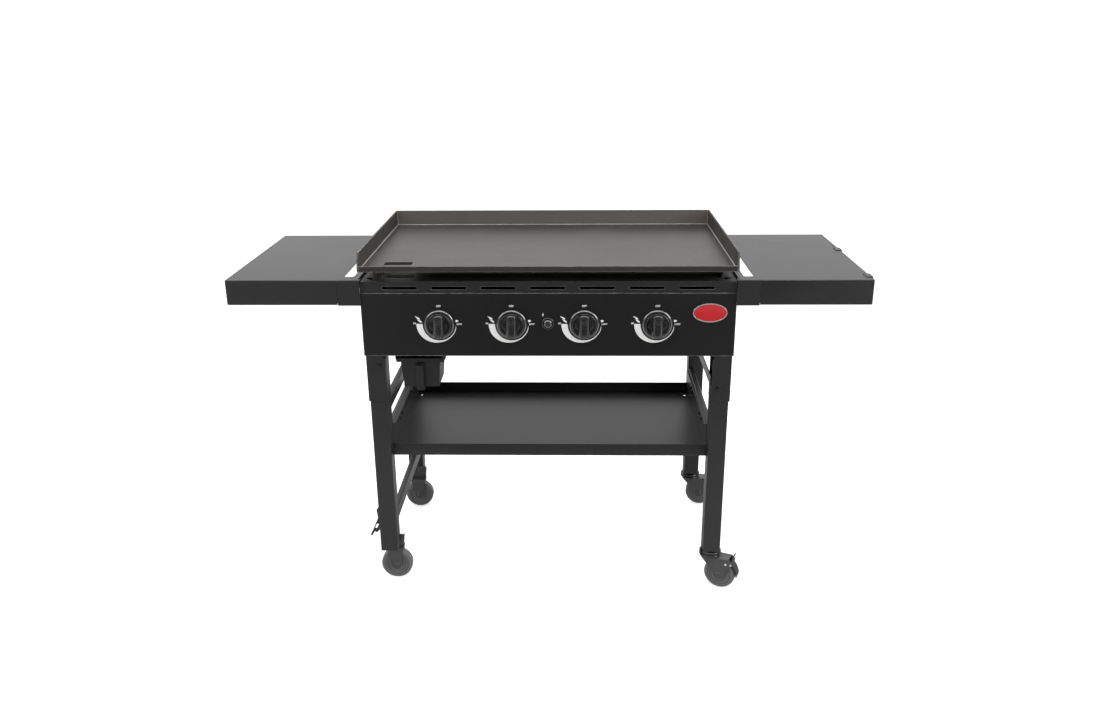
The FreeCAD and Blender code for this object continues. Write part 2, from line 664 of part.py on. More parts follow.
def shelf_arms():
    """Four joggled arms on the body's sides; the shelves hang over them."""
    t = 2.0
    low = SHELF_TOP - SHELF_SKIRT - 2
    top = SHELF_TOP - SHEET
    start = BODY_HALF_WIDTH
    arms = []
    for face, inwards in ((at(SHELF_FRONT), 1), (at(SHELF_BACK), -1)):
        def plate(x0, x1, near, far, z0):
            y0, y1 = sorted((face + inwards * near, face + inwards * far))
            return block(x0, x1, y0, y1, z0, top)

        cover = plate(start, SKIRT_START - 0.5, 0, t, low)
        tongue = plate(SKIRT_START - 25, SKIRT_START + 34, t, 2 * t, low + 6)
        ledge = plate(start, SLOT_X[0] - 1, t, ARM_DEPTH, top - t)
        foot = plate(start, start + t, 10, ARM_DEPTH, low)
        arm = joined([cover, tongue, ledge, foot])
        arms += [arm, mirrored(arm)]
    return arms


def tool_strip():
    """Thin hook strip behind the right shelf's outer edge, held by two clips over the top."""
    t = TOOL_CLIP
    x = OVERALL_HALF_WIDTH - t
    seat = SHELF_TOP - CLIP_SEAT
    low = SHELF_TOP - 44
    pieces = [block(x, x + t, at(CLIP_DEPTHS[0]), at(CLIP_DEPTHS[1] + CLIP_LENGTH), low, low + 18)]
    for depth in CLIP_DEPTHS:
        y0, y1 = at(depth), at(depth + CLIP_LENGTH)
        pieces.append(block(x - CLIP_REACH, x + t, y0, y1, seat, seat + t))
        pieces.append(block(x, x + t, y0, y1, low, seat))
    return joined(pieces)


def square_tube(x, y, z0, z1, size, wall, radius):
    outer = rounded_block(x - size / 2, x + size / 2, y - size / 2, y + size / 2, z0, z1, radius)
    half = size / 2 - wall
    inner = rounded_block(x - half, x + half, y - half, y + half, z0 - 1, z1 + 1, radius - wall)
    return outer.cut(inner)


def leg(sign, y, pivot):
    """Square tube leg with the cross hole for its pivot bolt. Its top is rounded, so that it can
    turn in the sleeve."""
    top = pivot + LEG_CROWN
    half = LEG / 2
    tube = square_tube(LEG_AXIS_X, y, LEG_BOTTOM, top, LEG, LEG_WALL, 3)
    crown = block(LEG_INNER, LEG_OUTER, y - half, y + half, LEG_BOTTOM, top)
    shoulders = [edge for edge in crown.Edges if edge.BoundBox.YLength > 10
                 and edge.BoundBox.XLength < 0.01 and edge.BoundBox.ZMin > top - 0.01]
    tube = tube.common(crown.makeFillet(12, shoulders))
    half -= LEG_WALL
    cap = block(LEG_AXIS_X - half, LEG_AXIS_X + half, y - half, y + half, LEG_BOTTOM, LEG_BOTTOM + 3)
    tube = tube.fuse(cap).cut(pivot_hole(y, pivot))
    return tube if sign > 0 else mirrored(tube)


def pivot_hole(y, pivot):
    return rod(PIVOT_HOLE, V(PIVOT_X, y - LEG, pivot), V(PIVOT_X, y + LEG, pivot))


def sleeve(sign, y, pivot, top):
    """Channel that opens towards the middle, so that the leg can fold in."""
    t = SLEEVE_SHEET
    outer = BODY_HALF_WIDTH - SHEET
    inner = LEG_INNER
    half = LEG / 2 + SLEEVE_FIT
    channel = block(inner, outer, y - half - t, y + half + t, SLEEVE_BOTTOM, top)
    channel = channel.cut(block(inner - 1, LEG_OUTER + SLEEVE_FIT, y - half, y + half,
                                SLEEVE_BOTTOM - 1, top + 1))
    corners = [edge for edge in channel.Edges if edge.BoundBox.ZLength > 100
               and abs(edge.BoundBox.XMin - outer) < 0.01]
    channel = channel.makeFillet(1.5, corners)
    level = PANEL_BOTTOM - 6
    notch = rod(4, V(inner, y - half - t - 1, level), V(inner, y + half + t + 1, level))
    channel = channel.cut(notch).cut(pivot_hole(y, pivot))
    return channel if sign > 0 else mirrored(channel)


def rail(sign, low):
    """Rounded tube between the front and the back leg, flush with their inner faces."""
    t = LEG_WALL
    y0, y1 = at(LEG_FRONT + LEG), at(LEG_BACK - LEG)
    bar = block(LEG_INNER, LEG_INNER + RAIL_WIDTH, y0, y1, low, low + RAIL_HEIGHT)
    long_edges = [edge for edge in bar.Edges if edge.BoundBox.YLength > 100]
    bar = bar.makeFillet(2.5, long_edges)
    core = block(LEG_INNER + t, LEG_INNER + RAIL_WIDTH - t, y0 - 1, y1 + 1, low + t, low + RAIL_HEIGHT - t)
    bar = bar.cut(core)
    return bar if sign > 0 else mirrored(bar)


def mid_rail(sign):
    """Middle rail with the holes for the bottom shelf's bolts."""
    bar = rail(sign, MID_RAIL)
    for depth in SHELF_BOLT_DEPTHS:
        bar = bar.cut(shelf_bolt_hole(sign, depth))
    return bar


def shelf_bolt_hole(sign, depth):
    x = sign * LEG_INNER
    return rod(3.2, V(x - sign * 8, at(depth), SHELF_BOLT), V(x + sign * 12, at(depth), SHELF_BOLT))


def cross_bar():
    """Flat bar across the inner faces of the two right legs, just above their pivots."""
    return block(LEG_INNER - CROSS_BAR_SHEET, LEG_INNER, at(LEG_FRONT + 6), at(LEG_BACK - 6), *CROSS_BAR)


def bottom_shelf():
    """Tray between the leg frames: low lips front and back, tall side flanges with a hem."""
    t = SHEET
    x = LEG_INNER
    y0, y1 = at(TRAY_DEPTH[0]), at(TRAY_DEPTH[1])
    z0 = TRAY_FLOOR
    floor = block(-x, x, y0, y1, z0, z0 + t)
    front = block(-x, x, y0, y0 + t, z0, z0 + TRAY_LIP)
    back = block(-x, x, y1 - t, y1, z0, z0 + TRAY_LIP)
    tray = [floor, front, back]
    cut_back = 20.0
    hem_top = z0 + TRAY_SIDE
    for side in (-1, 1):
        flange = polygon([V(side * x, y0, z0), V(side * x, y0, z0 + TRAY_LIP),
                          V(side * x, y0 + cut_back, hem_top), V(side * x, y1 - cut_back, hem_top),
                          V(side * x, y1, z0 + TRAY_LIP), V(side * x, y1, z0)])
        tray.append(flange.extrude(V(-side * t, 0, 0)))
        hem_x = sorted((side * (x - TRAY_HEM), side * x))
        tray.append(block(*hem_x, y0 + cut_back, y1 - cut_back, hem_top - t, hem_top))
    tray = joined(tray)
    for depth in TRAY_DEPTH:
        tray = round_fold(tray, depth, z0)
    for side in (-1, 1):
        for depth in (TRAY_DEPTH[0] + 27, TRAY_DEPTH[1] - 27):
            hole = rod(3.5, V(side * (x - 10), at(depth), z0 - 2), V(side * (x - 10), at(depth), z0 + 4))
            tray = tray.cut(hole)
        for depth in SHELF_BOLT_DEPTHS:
            tray = tray.cut(shelf_bolt_hole(side, depth))
    return tray


def dome_bolt(start, direction, shank, radius, head):
    """Round-headed bolt: the head lies before start, the shank runs along direction."""
    profile = [(0, -head * 0.55), (head * 0.5, -head * 0.47), (head * 0.85, -head * 0.25), (head, 0),
               (radius, 0), (radius, shank), (0, shank)]
    return revolved(profile, start, direction)


def hex_nut(start, direction, width, thickness, bore):
    angles = [math.pi / 3 * index for index in range(6)]
    points = [V(width / 2 * math.cos(angle), width / 2 * math.sin(angle), 0) for angle in angles]
    nut = polygon(points).extrude(V(0, 0, thickness)).cut(rod(bore, V(0, 0, -1), V(0, 0, thickness + 1)))
    nut.Placement = FreeCAD.Placement(start, FreeCAD.Rotation(V(0, 0, 1), direction))
    return nut


def frame_bolts():
    """Pivot bolts through the sleeves and legs, and the bolts that hold the bottom shelf."""
    bolts = []
    half = LEG / 2 + SLEEVE_FIT + SLEEVE_SHEET
    for sign, pivot in ((-1, LEFT_PIVOT), (1, RIGHT_PIVOT)):
        for y, front in ((FRONT_LEG_AXIS, 1), (BACK_LEG_AXIS, -1)):
            start = V(sign * PIVOT_X, y - front * half, pivot)
            way = V(0, front, 0)
            bolts.append(dome_bolt(start, way, 2 * half + 7, 4.0, 8))
            bolts.append(hex_nut(start + way * 2 * half, way, 14, 6, 4.0))
        for depth in SHELF_BOLT_DEPTHS:
            head = V(sign * (LEG_INNER - SHEET), at(depth), SHELF_BOLT)
            bolts.append(dome_bolt(head, V(sign, 0, 0), 9, 3.0, 6))
    return bolts


def wheel(centre, axis):
    """Hard rubber wheel: crowned tread, dished web and a hub with a running bore."""
    r = WHEEL_RADIUS
    half = WHEEL_WIDTH / 2
    bore = AXLE_RADIUS + RUNNING_FIT
    right = [(bore, half + 1), (9, half + 1), (9, half - 3), (25, half - 3), (27, half), (r - 4, half),
             (r - 1, half - 2.5), (r, half - 6)]
    left = [(radius, -along) for radius, along in reversed(right)]
    return revolved(right + left, centre, axis)


def cheek(centre, y0, y1, corners):
    """Fork side: straight edges from the upper corners down to a round end about the axle."""
    radius = 14.0
    points = [V(centre.x + dx, y0, height) for dx, height in corners]
    right = V(centre.x + radius, y0, centre.z)
    left = V(centre.x - radius, y0, centre.z)
    edges = [Part.LineSegment(a, b).toShape() for a, b in zip(points, points[1:] + [right])]
    edges.append(Part.Arc(right, V(centre.x, y0, centre.z - radius), left).toShape())
    edges.append(Part.LineSegment(left, points[0]).toShape())
    return Part.Face(Part.Wire(edges)).extrude(V(0, y1 - y0, 0))


def fork_sides(centre, corners):
    """Both fork sides with the axle bolt, its head and its nut."""
    gap = WHEEL_WIDTH / 2 + 2.5
    y, outside = centre.y, gap + CHEEK
    sides = [cheek(centre, y - outside, y - gap, corners), cheek(centre, y + gap, y + outside, corners)]
    bolt = rod(AXLE_RADIUS, V(centre.x, y - outside - 1, centre.z), V(centre.x, y + outside + 8, centre.z))
    head = dome_bolt(V(centre.x, y - outside, centre.z), V(0, 1, 0), 2, AXLE_RADIUS, 7.5)
    nut = hex_nut(V(centre.x, y + outside, centre.z), V(0, 1, 0), 15, 6, AXLE_RADIUS)
    return sides + [bolt, head, nut]


def fixed_fork(leg_y, inwards):
    """Rigid wheel bracket on the inner face of a left leg: plate, top web and two cheeks."""
    half = WHEEL_WIDTH / 2 + 2.5 + CHEEK
    y = leg_y + inwards * FIXED_OFFSET
    centre = V(FIXED_X, y, WHEEL_RADIUS)
    web_top = FORK_TOP
    corners = [(-24, web_top), (20, web_top)]
    web = block(FIXED_X - 24, FIXED_X + 20, y - half, y + half, web_top - CHEEK, web_top)
    face = leg_y + inwards * LEG / 2
    y0, y1 = sorted((face, face + inwards * CHEEK))
    plate = outline_xz([(FIXED_X - 24, web_top - CHEEK), (FIXED_X - 24, PLATE_HEIGHT - 4),
                        (FIXED_X - 20, PLATE_HEIGHT), (FIXED_X + 20, PLATE_HEIGHT),
                        (FIXED_X + 24, PLATE_HEIGHT - 4), (FIXED_X + 20, web_top - CHEEK)], y0, y1)
    y0, y1 = sorted((face + inwards * CHEEK, face + inwards * (CHEEK + 8)))
    rib = outline_xz([(FIXED_X + 18, web_top), (FIXED_X + 21.4, PLATE_HEIGHT - 1),
                      (FIXED_X + 23.4, PLATE_HEIGHT - 3), (FIXED_X + 20, web_top)], y0, y1)
    screws = [dome_bolt(V(x, face + inwards * CHEEK, 117), V(0, -inwards, 0), CHEEK, 3, 5.5)
              for x in (FIXED_X - 13, FIXED_X + 1)]
    return joined([web, plate, rib] + fork_sides(centre, corners) + screws)


def caster_plate(y):
    """Top plate, upper ball race and king pin under a right leg."""
    top = LEG_BOTTOM
    crown = FORK_TOP - 0.6
    profile = [(0, 0), (22, 0), (26, -1.5), (29, -4), (29, -6.5), (25, -8), (6, -8),
               (6, crown - CHEEK - 0.4 - top), (9, crown - CHEEK - 0.4 - top),
               (9, crown - CHEEK - 3.5 - top), (0, crown - CHEEK - 3.5 - top)]
    return revolved(profile, V(LEG_AXIS_X, y, top), V(0, 0, 1))


def turned(solid, y, degrees):
    """Turn a caster piece about its swivel axis."""
    solid = solid.copy()
    solid.rotate(V(LEG_AXIS_X, y, 0), V(0, 0, 1), degrees)
    return solid


def brake_pin():
    """Offset of the brake's cross pin from the wheel's centre, along X and Z."""
    angle = math.radians(52)
    return BRAKE_PIN_REACH * math.cos(angle), BRAKE_PIN_REACH * math.sin(angle)


def caster_fork(y):
    """Swivel fork trailing towards +X: lower race, crown, two cheeks, axle and brake pin."""
    x = LEG_AXIS_X
    crown_top = FORK_TOP - 0.6
    race_height = LEG_BOTTOM - 8.4 - crown_top
    bore = 6 + RUNNING_FIT
    race = revolved([(bore, 0), (26, 0), (29, 2), (29, race_height - 1.5), (26, race_height),
                     (bore, race_height)], V(x, y, crown_top), V(0, 0, 1))
    half = WHEEL_WIDTH / 2 + 2.5 + CHEEK
    centre = V(x + TRAIL, y, WHEEL_RADIUS)
    crown = block(x - 24, x + 56, y - half, y + half, crown_top - CHEEK, crown_top)
    crown = crown.cut(rod(bore, V(x, y, crown_top - 5), V(x, y, crown_top + 1)))
    dx, dz = brake_pin()
    corners = [(-54, crown_top), (26, crown_top), (dx + 6, WHEEL_RADIUS + dz + 2),
               (dx + 5, WHEEL_RADIUS + dz - 5)]
    px, pz = centre.x + dx, centre.z + dz
    pin = rod(2.5, V(px, y - half - 1.5, pz), V(px, y + half + 1.5, pz))
    return joined([race, crown, pin] + fork_sides(centre, corners))


def brake_pedal(y):
    """Curved foot lever round the wheel, hung by two eyes on the fork's cross pin, with a toe tab."""
    x, z = LEG_AXIS_X + TRAIL, WHEEL_RADIUS
    dx, dz = brake_pin()
    half = WHEEL_WIDTH / 2 + 1

    def on(radius, degrees):
        angle = math.radians(degrees)
        return V(x + radius * math.cos(angle), y - half, z + radius * math.sin(angle))

    inner = [on(BRAKE_REACH, degrees) for degrees in (50, 24, -2)]
    outer = [on(BRAKE_REACH + CHEEK, degrees) for degrees in (50, 24, -2)]
    edges = [Part.Arc(*outer).toShape(), Part.LineSegment(outer[2], inner[2]).toShape(),
             Part.Arc(*reversed(inner)).toShape(), Part.LineSegment(inner[0], outer[0]).toShape()]
    blade = Part.Face(Part.Wire(edges)).extrude(V(0, 2 * half, 0))
    tab = polygon([V(x + dx + 1, y - half, z + dz - 2), V(x + dx + 4, y - half, z + dz - 2),
                   V(x + dx + 5, y - half, z + dz + 14), V(x + dx + 9, y - half, z + dz + 20),
                   V(x + dx + 7, y - half, z + dz + 21), V(x + dx + 2.5, y - half, z + dz + 14)])
    pieces = [blade, tab.extrude(V(0, 2 * half, 0))]
    for side in (y - half, y + half - 3):
        pieces.append(rod(5, V(x + dx, side, z + dz), V(x + dx, side + 3, z + dz)))
    bore = rod(2.5 + RUNNING_FIT, V(x + dx, y - half - 1, z + dz), V(x + dx, y + half + 1, z + dz))
    return joined(pieces).cut(bore)


def tank_hook():
    """Slotted hook plate on the outer side of the left frame's lower rail."""
    y0, y1 = at(88.5), at(91.5)
    side = -(LEG_INNER + RAIL_WIDTH)
    outline = [(side, 212), (-458, 212), (-473, 190), (-470, 166), (-486, 130), (-494, 114),
               (-489, 112), (-481, 125), (-476, 121), (-466, 131), (-452, 168), (side, 188)]
    plate = outline_xz(outline, y0, y1)
    tilt = 61.0
    opening = slot(-8, 8, -2.6, 2.6, y0 - 5, y1 + 5)
    opening.rotate(V(0, 0, 0), V(0, 1, 0), -tilt)
    opening.translate(V(-474.5, 0, 141))
    flange = block(side - 2, side, y0, y0 + 30, LOWER_RAIL + 4, LOWER_RAIL + RAIL_HEIGHT - 3)
    return joined([plate.cut(opening), flange])


def main():
    os.makedirs("parts", exist_ok=True)
    save("griddle_plate", griddle_plate())
    griddle_walls()
    save("griddle_apron", griddle_apron())
    save("body_front", body_front())
    right_wall = body_side()
    inlet_hole = rod(INLET_RADIUS + 0.4, V(-BODY_HALF_WIDTH - 5, at(INLET_DEPTH), MANIFOLD_LEVEL),
                     V(-BODY_HALF_WIDTH + 5, at(INLET_DEPTH), MANIFOLD_LEVEL))
    save("body_sides", [right_wall, mirrored(right_wall).cut(inlet_hole)])
    save("body_back", body_back())
    save("body_pan", body_pan())
    save("control_panel", control_panel())
    save("gas_manifold", gas_manifold())
    save("gas_inlet", gas_inlet())
    save("bezels", bezels())
    for index, x in enumerate(KNOB_X, 1):
        save(f"burner_{index}", burner(x))
        save(f"knob_stem_{index}", knob_stem(x))
        save(f"knob_{index}", knob(x))
    save("igniter_collar", igniter_collar())
    save("igniter_button", igniter_button())
    save("igniter_module", igniter_module())
    save("badge_plate", badge_plate())
    save("grease_cup", grease_cup())
    save("cup_handle", cup_handle())
    save("cup_rails", cup_rails())
    save("drain_chute", drain_chute())
    save("left_shelf", side_shelf(-1))
    save("right_shelf", side_shelf(1))
    save("shelf_arms", shelf_arms())
    save("tool_strip", tool_strip())
    sleeve_tops = ((FRONT_LEG_AXIS, PANEL_BOTTOM), (BACK_LEG_AXIS, PANEL_BOTTOM + SLEEVE_RISE))
    for name, sign, pivot in (("left", -1, LEFT_PIVOT), ("right", 1, RIGHT_PIVOT)):
        save(name + "_sleeves", [sleeve(sign, y, pivot, top) for y, top in sleeve_tops])
        save(name + "_legs", [leg(sign, y, pivot) for y in (FRONT_LEG_AXIS, BACK_LEG_AXIS)])
    save("left_rails", [rail(-1, UPPER_RAIL), mid_rail(-1), rail(-1, LOWER_RAIL)])
    save("right_rails", [cross_bar(), mid_rail(1)])
    save("bottom_shelf", bottom_shelf())
    save("frame_bolts", frame_bolts())
    save("tank_hook", tank_hook())
    for name, y, inwards in (("front", FRONT_LEG_AXIS, 1), ("back", BACK_LEG_AXIS, -1)):
        save(name + "_fixed_fork", fixed_fork(y, inwards))
        hub = V(FIXED_X, y + inwards * FIXED_OFFSET, WHEEL_RADIUS)
        save(name + "_fixed_wheel", wheel(hub, V(0, 1, 0)))
    casters = (("front", FRONT_LEG_AXIS, FRONT_CASTER_TURN), ("back", BACK_LEG_AXIS, BACK_CASTER_TURN))
    for name, y, turn in casters:
        save(name + "_caster_plate", caster_plate(y))
        save(name + "_caster_fork", turned(caster_fork(y), y, turn))
        hub = V(LEG_AXIS_X + TRAIL, y, WHEEL_RADIUS)
        save(name + "_caster_wheel", turned(wheel(hub, V(0, 1, 0)), y, turn))
        save(name + "_brake_pedal", turned(brake_pedal(y), y, turn))


main()
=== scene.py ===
# %% [markdown]
# # An outdoor gas griddle station
# A griddle station is a wide steel cooking plate on a body with gas burners, carried by a wheeled
# cart with two side shelves. Its construction is fixed before this file starts: every sheet, tube
# and wheel has its real size and place in metres. This file gives it its looks. It finishes the
# sheets with rounded edges, builds the small parts that deserve more shape, and mixes a material
# for every surface.

# %% Load the fixed construction
import json
import math
import bmesh
import bpy
import numpy as np
from mathutils import Matrix, Vector


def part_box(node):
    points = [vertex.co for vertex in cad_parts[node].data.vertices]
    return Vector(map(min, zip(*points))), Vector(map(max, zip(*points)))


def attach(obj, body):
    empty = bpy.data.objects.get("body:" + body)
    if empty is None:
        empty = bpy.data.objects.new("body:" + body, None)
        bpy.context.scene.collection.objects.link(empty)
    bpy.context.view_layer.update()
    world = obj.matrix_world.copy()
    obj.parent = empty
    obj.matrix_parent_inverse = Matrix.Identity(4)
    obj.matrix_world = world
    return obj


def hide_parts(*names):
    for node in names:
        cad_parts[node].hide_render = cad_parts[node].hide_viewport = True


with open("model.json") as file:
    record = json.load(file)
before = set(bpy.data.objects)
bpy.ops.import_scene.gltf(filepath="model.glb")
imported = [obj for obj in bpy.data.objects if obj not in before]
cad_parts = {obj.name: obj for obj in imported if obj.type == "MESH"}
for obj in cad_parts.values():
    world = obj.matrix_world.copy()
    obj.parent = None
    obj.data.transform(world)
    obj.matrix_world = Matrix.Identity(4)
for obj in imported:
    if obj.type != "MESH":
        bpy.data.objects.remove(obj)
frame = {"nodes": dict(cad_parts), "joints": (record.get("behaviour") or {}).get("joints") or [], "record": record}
nodes = frame["nodes"]
joints = {joint["name"]: joint for joint in frame["joints"]}
bodies = frame["record"]["behaviour"]["bodies"]
body_of = {node: body for body, members in bodies.items() for node in members}
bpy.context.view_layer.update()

# %% [markdown]
# ## The view
# A product photograph is a pinhole view. Its camera can be found from straight edges whose real
# places are known: the plate, the shelves and the legs give enough of them to solve for the
# camera's place, its direction and its focal length. The values below are that solution, so
# everything that follows can be compared with the photograph line by line.

# %% Camera
CAMERA_PLACE = Vector((0.0621, -2.5038, 1.4376))
CAMERA_YAW = math.radians(-1.47)
CAMERA_PITCH = math.radians(-19.35)
CAMERA_ROLL = math.radians(-0.44)
CAMERA_LENS = 31.45
SENSOR_WIDTH = 36.0


def make_camera():
    """Camera turned by yaw, then pitch, then roll: level, tipped down, rolled about the line of view."""
    forward = Vector((math.sin(CAMERA_YAW) * math.cos(CAMERA_PITCH),
                      math.cos(CAMERA_YAW) * math.cos(CAMERA_PITCH), math.sin(CAMERA_PITCH)))
    level = Vector((math.cos(CAMERA_YAW), -math.sin(CAMERA_YAW), 0))
    up = level.cross(forward)
    right = level * math.cos(CAMERA_ROLL) + up * math.sin(CAMERA_ROLL)
    up = up * math.cos(CAMERA_ROLL) - level * math.sin(CAMERA_ROLL)
    data = bpy.data.cameras.new("camera")
    data.sensor_fit = "HORIZONTAL"
    data.sensor_width = SENSOR_WIDTH
    data.lens = CAMERA_LENS
    camera = bpy.data.objects.new("camera", data)
    turn = Matrix((right, up, -forward)).transposed()
    camera.matrix_world = Matrix.Translation(CAMERA_PLACE) @ turn.to_4x4()
    bpy.context.scene.collection.objects.link(camera)
    bpy.context.scene.camera = camera
    return camera


camera = make_camera()
print("camera", tuple(round(x, 3) for x in camera.location), "lens", camera.data.lens)

# %% [markdown]
# ## Shapes as arrays
# Most small parts are turned, bent or pressed, so each is a surface of two parameters: one runs
# along a profile, the other runs round or along it. numpy works out the whole surface at once, and
# the mesh receives its points and faces as arrays. A shape here is a triple: its points, the
# corner numbers of all its faces in a row, and how many corners each face has.

# %% Grids of points
MILLI = 0.001


def grid(points, around=False):
    """Shape over a grid of points: rows by columns by three. around joins the last column to the first."""
    rows, columns = points.shape[:2]
    row = np.arange(rows - 1)[:, None]
    column = np.arange(columns if around else columns - 1)[None, :]
    beside = (column + 1) % columns
    corners = np.stack([row * columns + column, row * columns + beside,
                        (row + 1) * columns + beside, (row + 1) * columns + column], -1)
    corners = corners.reshape(-1)
    return points.reshape(-1, 3), corners, np.full(len(corners) // 4, 4)


def capped(rings):
    """Closed tube through rings of points, with a flat face at each end."""
    points, corners, sizes = grid(rings, around=True)
    count = rings.shape[1]
    first = np.arange(count)[::-1]
    last = np.arange(count) + (rings.shape[0] - 1) * count
    return points, np.concatenate([corners, first, last]), np.concatenate([sizes, [count, count]])


def merged(*shapes):
    """Several shapes as one: points stacked, corner numbers moved past the points before them."""
    starts = np.cumsum([0] + [len(points) for points, _, _ in shapes[:-1]])
    return (np.concatenate([points for points, _, _ in shapes]),
            np.concatenate([corners + start for (_, corners, _), start in zip(shapes, starts)]),
            np.concatenate([sizes for _, _, sizes in shapes]))


print("a closed tube of two rings of eight points has", len(capped(np.zeros((2, 8, 3)))[2]), "faces")

# %% Profiles and turned shapes


def arc(centre, radius, start, end, steps):
    """Part of a circle in a profile: (across, along) points from one angle to another, in degrees."""
    angle = np.radians(np.linspace(start, end, steps + 1))
    return np.stack([centre[0] + radius * np.cos(angle), centre[1] + radius * np.sin(angle)], -1)


def turned_rings(profile, steps):
    """Rings of points: each (radius, height) of the profile goes round the Z axis, x = r cos, y = r sin."""
    radius, height = np.asarray(profile, float).T
    angle = np.linspace(0, 2 * np.pi, steps, endpoint=False)
    return np.stack([radius[:, None] * np.cos(angle), radius[:, None] * np.sin(angle),
                     np.repeat(height[:, None], steps, 1)], -1)


def lathe(profile, steps):
    """Turned shape: the profile's rings joined to a surface, as on a lathe."""
    return grid(turned_rings(profile, steps), around=True)


print("a quarter circle in six steps has", len(arc((0, 0), 1, 0, 90, 6)), "points")

# %% Places
FORWARD = (0, -1, 0)
RIGHT = (1, 0, 0)
CLOSE_TO_X = 0.9


def placed(shape, origin, along=(0, 0, 1), side=None):
    """Shape moved so that its Z points along a direction, its X towards side, and its origin to a point.

    Without a side its X turns towards the X axis, or the Y axis where the direction is close to X."""
    z = Vector(along).normalized()
    if side is None:
        side = (1, 0, 0) if abs(z.x) < CLOSE_TO_X else (0, 1, 0)
    x = Vector(side)
    x = (x - z * x.dot(z)).normalized()
    turn = np.array([x, z.cross(x), z])
    return shape[0] @ turn + np.asarray(origin, float), shape[1], shape[2]


def middle(node):
    """Centre of a construction node's box."""
    low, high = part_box(node)
    return (np.asarray(low) + np.asarray(high)) / 2


PANEL_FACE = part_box("control_panel")[0][1]


def on_panel(shape, x, z):
    """Shape placed on the control panel's face, its Z pointing forward and its X to the right."""
    return placed(shape, (x, PANEL_FACE, z), FORWARD, RIGHT)


print("the panel's face lies at y =", round(PANEL_FACE, 4))

# %% From arrays to meshes
DOUBLE_REACH = 2e-6


def smoothed_angle(mesh, degrees):
    """Smooth shading, kept crisp where faces meet at more than this angle."""
    mesh.polygons.foreach_set("use_smooth", np.ones(len(mesh.polygons), bool))
    mesh.set_sharp_from_angle(angle=math.radians(degrees))


def clean(mesh):
    """Merges doubles, so that seams and poles close, and turns all faces outwards."""
    work = bmesh.new()
    work.from_mesh(mesh)
    bmesh.ops.remove_doubles(work, verts=work.verts, dist=DOUBLE_REACH)
    bmesh.ops.recalc_face_normals(work, faces=work.faces)
    work.to_mesh(mesh)
    work.free()


def piece(name, shape, material, body, crisp, node=None):
    """Mesh object from a shape. It rides on a body, and stands for node if one is given."""
    points, corners, sizes = shape
    mesh = bpy.data.meshes.new(name)
    mesh.vertices.add(len(points))
    mesh.vertices.foreach_set("co", np.ascontiguousarray(points, np.float32).ravel())
    mesh.loops.add(len(corners))
    mesh.loops.foreach_set("vertex_index", corners.astype(np.int32))
    mesh.polygons.add(len(sizes))
    mesh.polygons.foreach_set("loop_start", (np.cumsum(sizes) - sizes).astype(np.int32))
    mesh.update(calc_edges=True)
    clean(mesh)
    smoothed_angle(mesh, crisp)
    mesh.materials.append(material)
    made = bpy.data.objects.new(name, mesh)
    bpy.context.scene.collection.objects.link(made)
    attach(made, body)
    if node:
        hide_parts(node)
    return made


print("points closer than", DOUBLE_REACH, "m are merged")

# %% [markdown]
# ## The studio
# The photograph was taken on white paper in front of a white wall. Black paint shows what it
# reflects, so the room matters as much as the paint. The tops of the shelves look grey because they
# mirror the bright wall at a low angle. The upright faces mirror the floor between the object and
# the camera, where the paper ends and the room is dark, so they stay nearly black; a leg's foot
# mirrors the paper close by and is lighter. That dark is painted shade in the floor's colour. The
# floor therefore has two looks: white paper to the eye, and, for reflections, white paper with a
# painted dark area round the camera's stand. The room is made in the same way, white to the eye and
# uneven in reflections.

# %% Nodes that finishes and studio share


def new_material(name):
    """Material with nodes: its tree and its Principled shader."""
    material = bpy.data.materials.new(name)
    material.use_nodes = True
    return material, material.node_tree, material.node_tree.nodes["Principled BSDF"]


def feed(tree, socket, value):
    """Gives an input a number, or links it to another node's output."""
    if isinstance(value, (int, float)):
        socket.default_value = value
    else:
        tree.links.new(value, socket)


def math_node(tree, operation, *operands):
    """Math node whose operands are outputs of other nodes or numbers."""
    node = tree.nodes.new("ShaderNodeMath")
    node.operation = operation
    for index, value in enumerate(operands):
        feed(tree, node.inputs[index], value)
    return node.outputs[0]


def fade_node(tree, value, start, end, low, high):
    """Smooth step: low where the value is below start, high where it is above end."""
    node = tree.nodes.new("ShaderNodeMapRange")
    node.interpolation_type = "SMOOTHSTEP"
    for label, number in (("From Min", start), ("From Max", end), ("To Min", low), ("To Max", high)):
        node.inputs[label].default_value = number
    tree.links.new(value, node.inputs["Value"])
    return node.outputs["Result"]


def camera_or_mirror(tree, sight, seen, mirrored):
    """The number seen for the camera's own rays, and the output mirrored for all other rays."""
    node = tree.nodes.new("ShaderNodeMix")
    tree.links.new(sight, node.inputs["Factor"])
    tree.links.new(mirrored, node.inputs["A"])
    node.inputs["B"].default_value = seen
    return node.outputs["Result"]


print("node helpers ready")

# %% Paper floor
FLOOR_HALF = 14.0
PAPER = 0.93
PAPER_GLOW = 0.62
PAPER_ROUGHNESS = 0.9
# Painted shade: for reflections the paper darkens round this spot by the camera's stand.
PAINTED_SHADE_SPOT = (0.1, -2.5, 0.0)
DARK_FROM, DARK_TO = 0.9, 1.9
DARK_LEVEL, BRIGHT_LEVEL = 0.10, 0.60


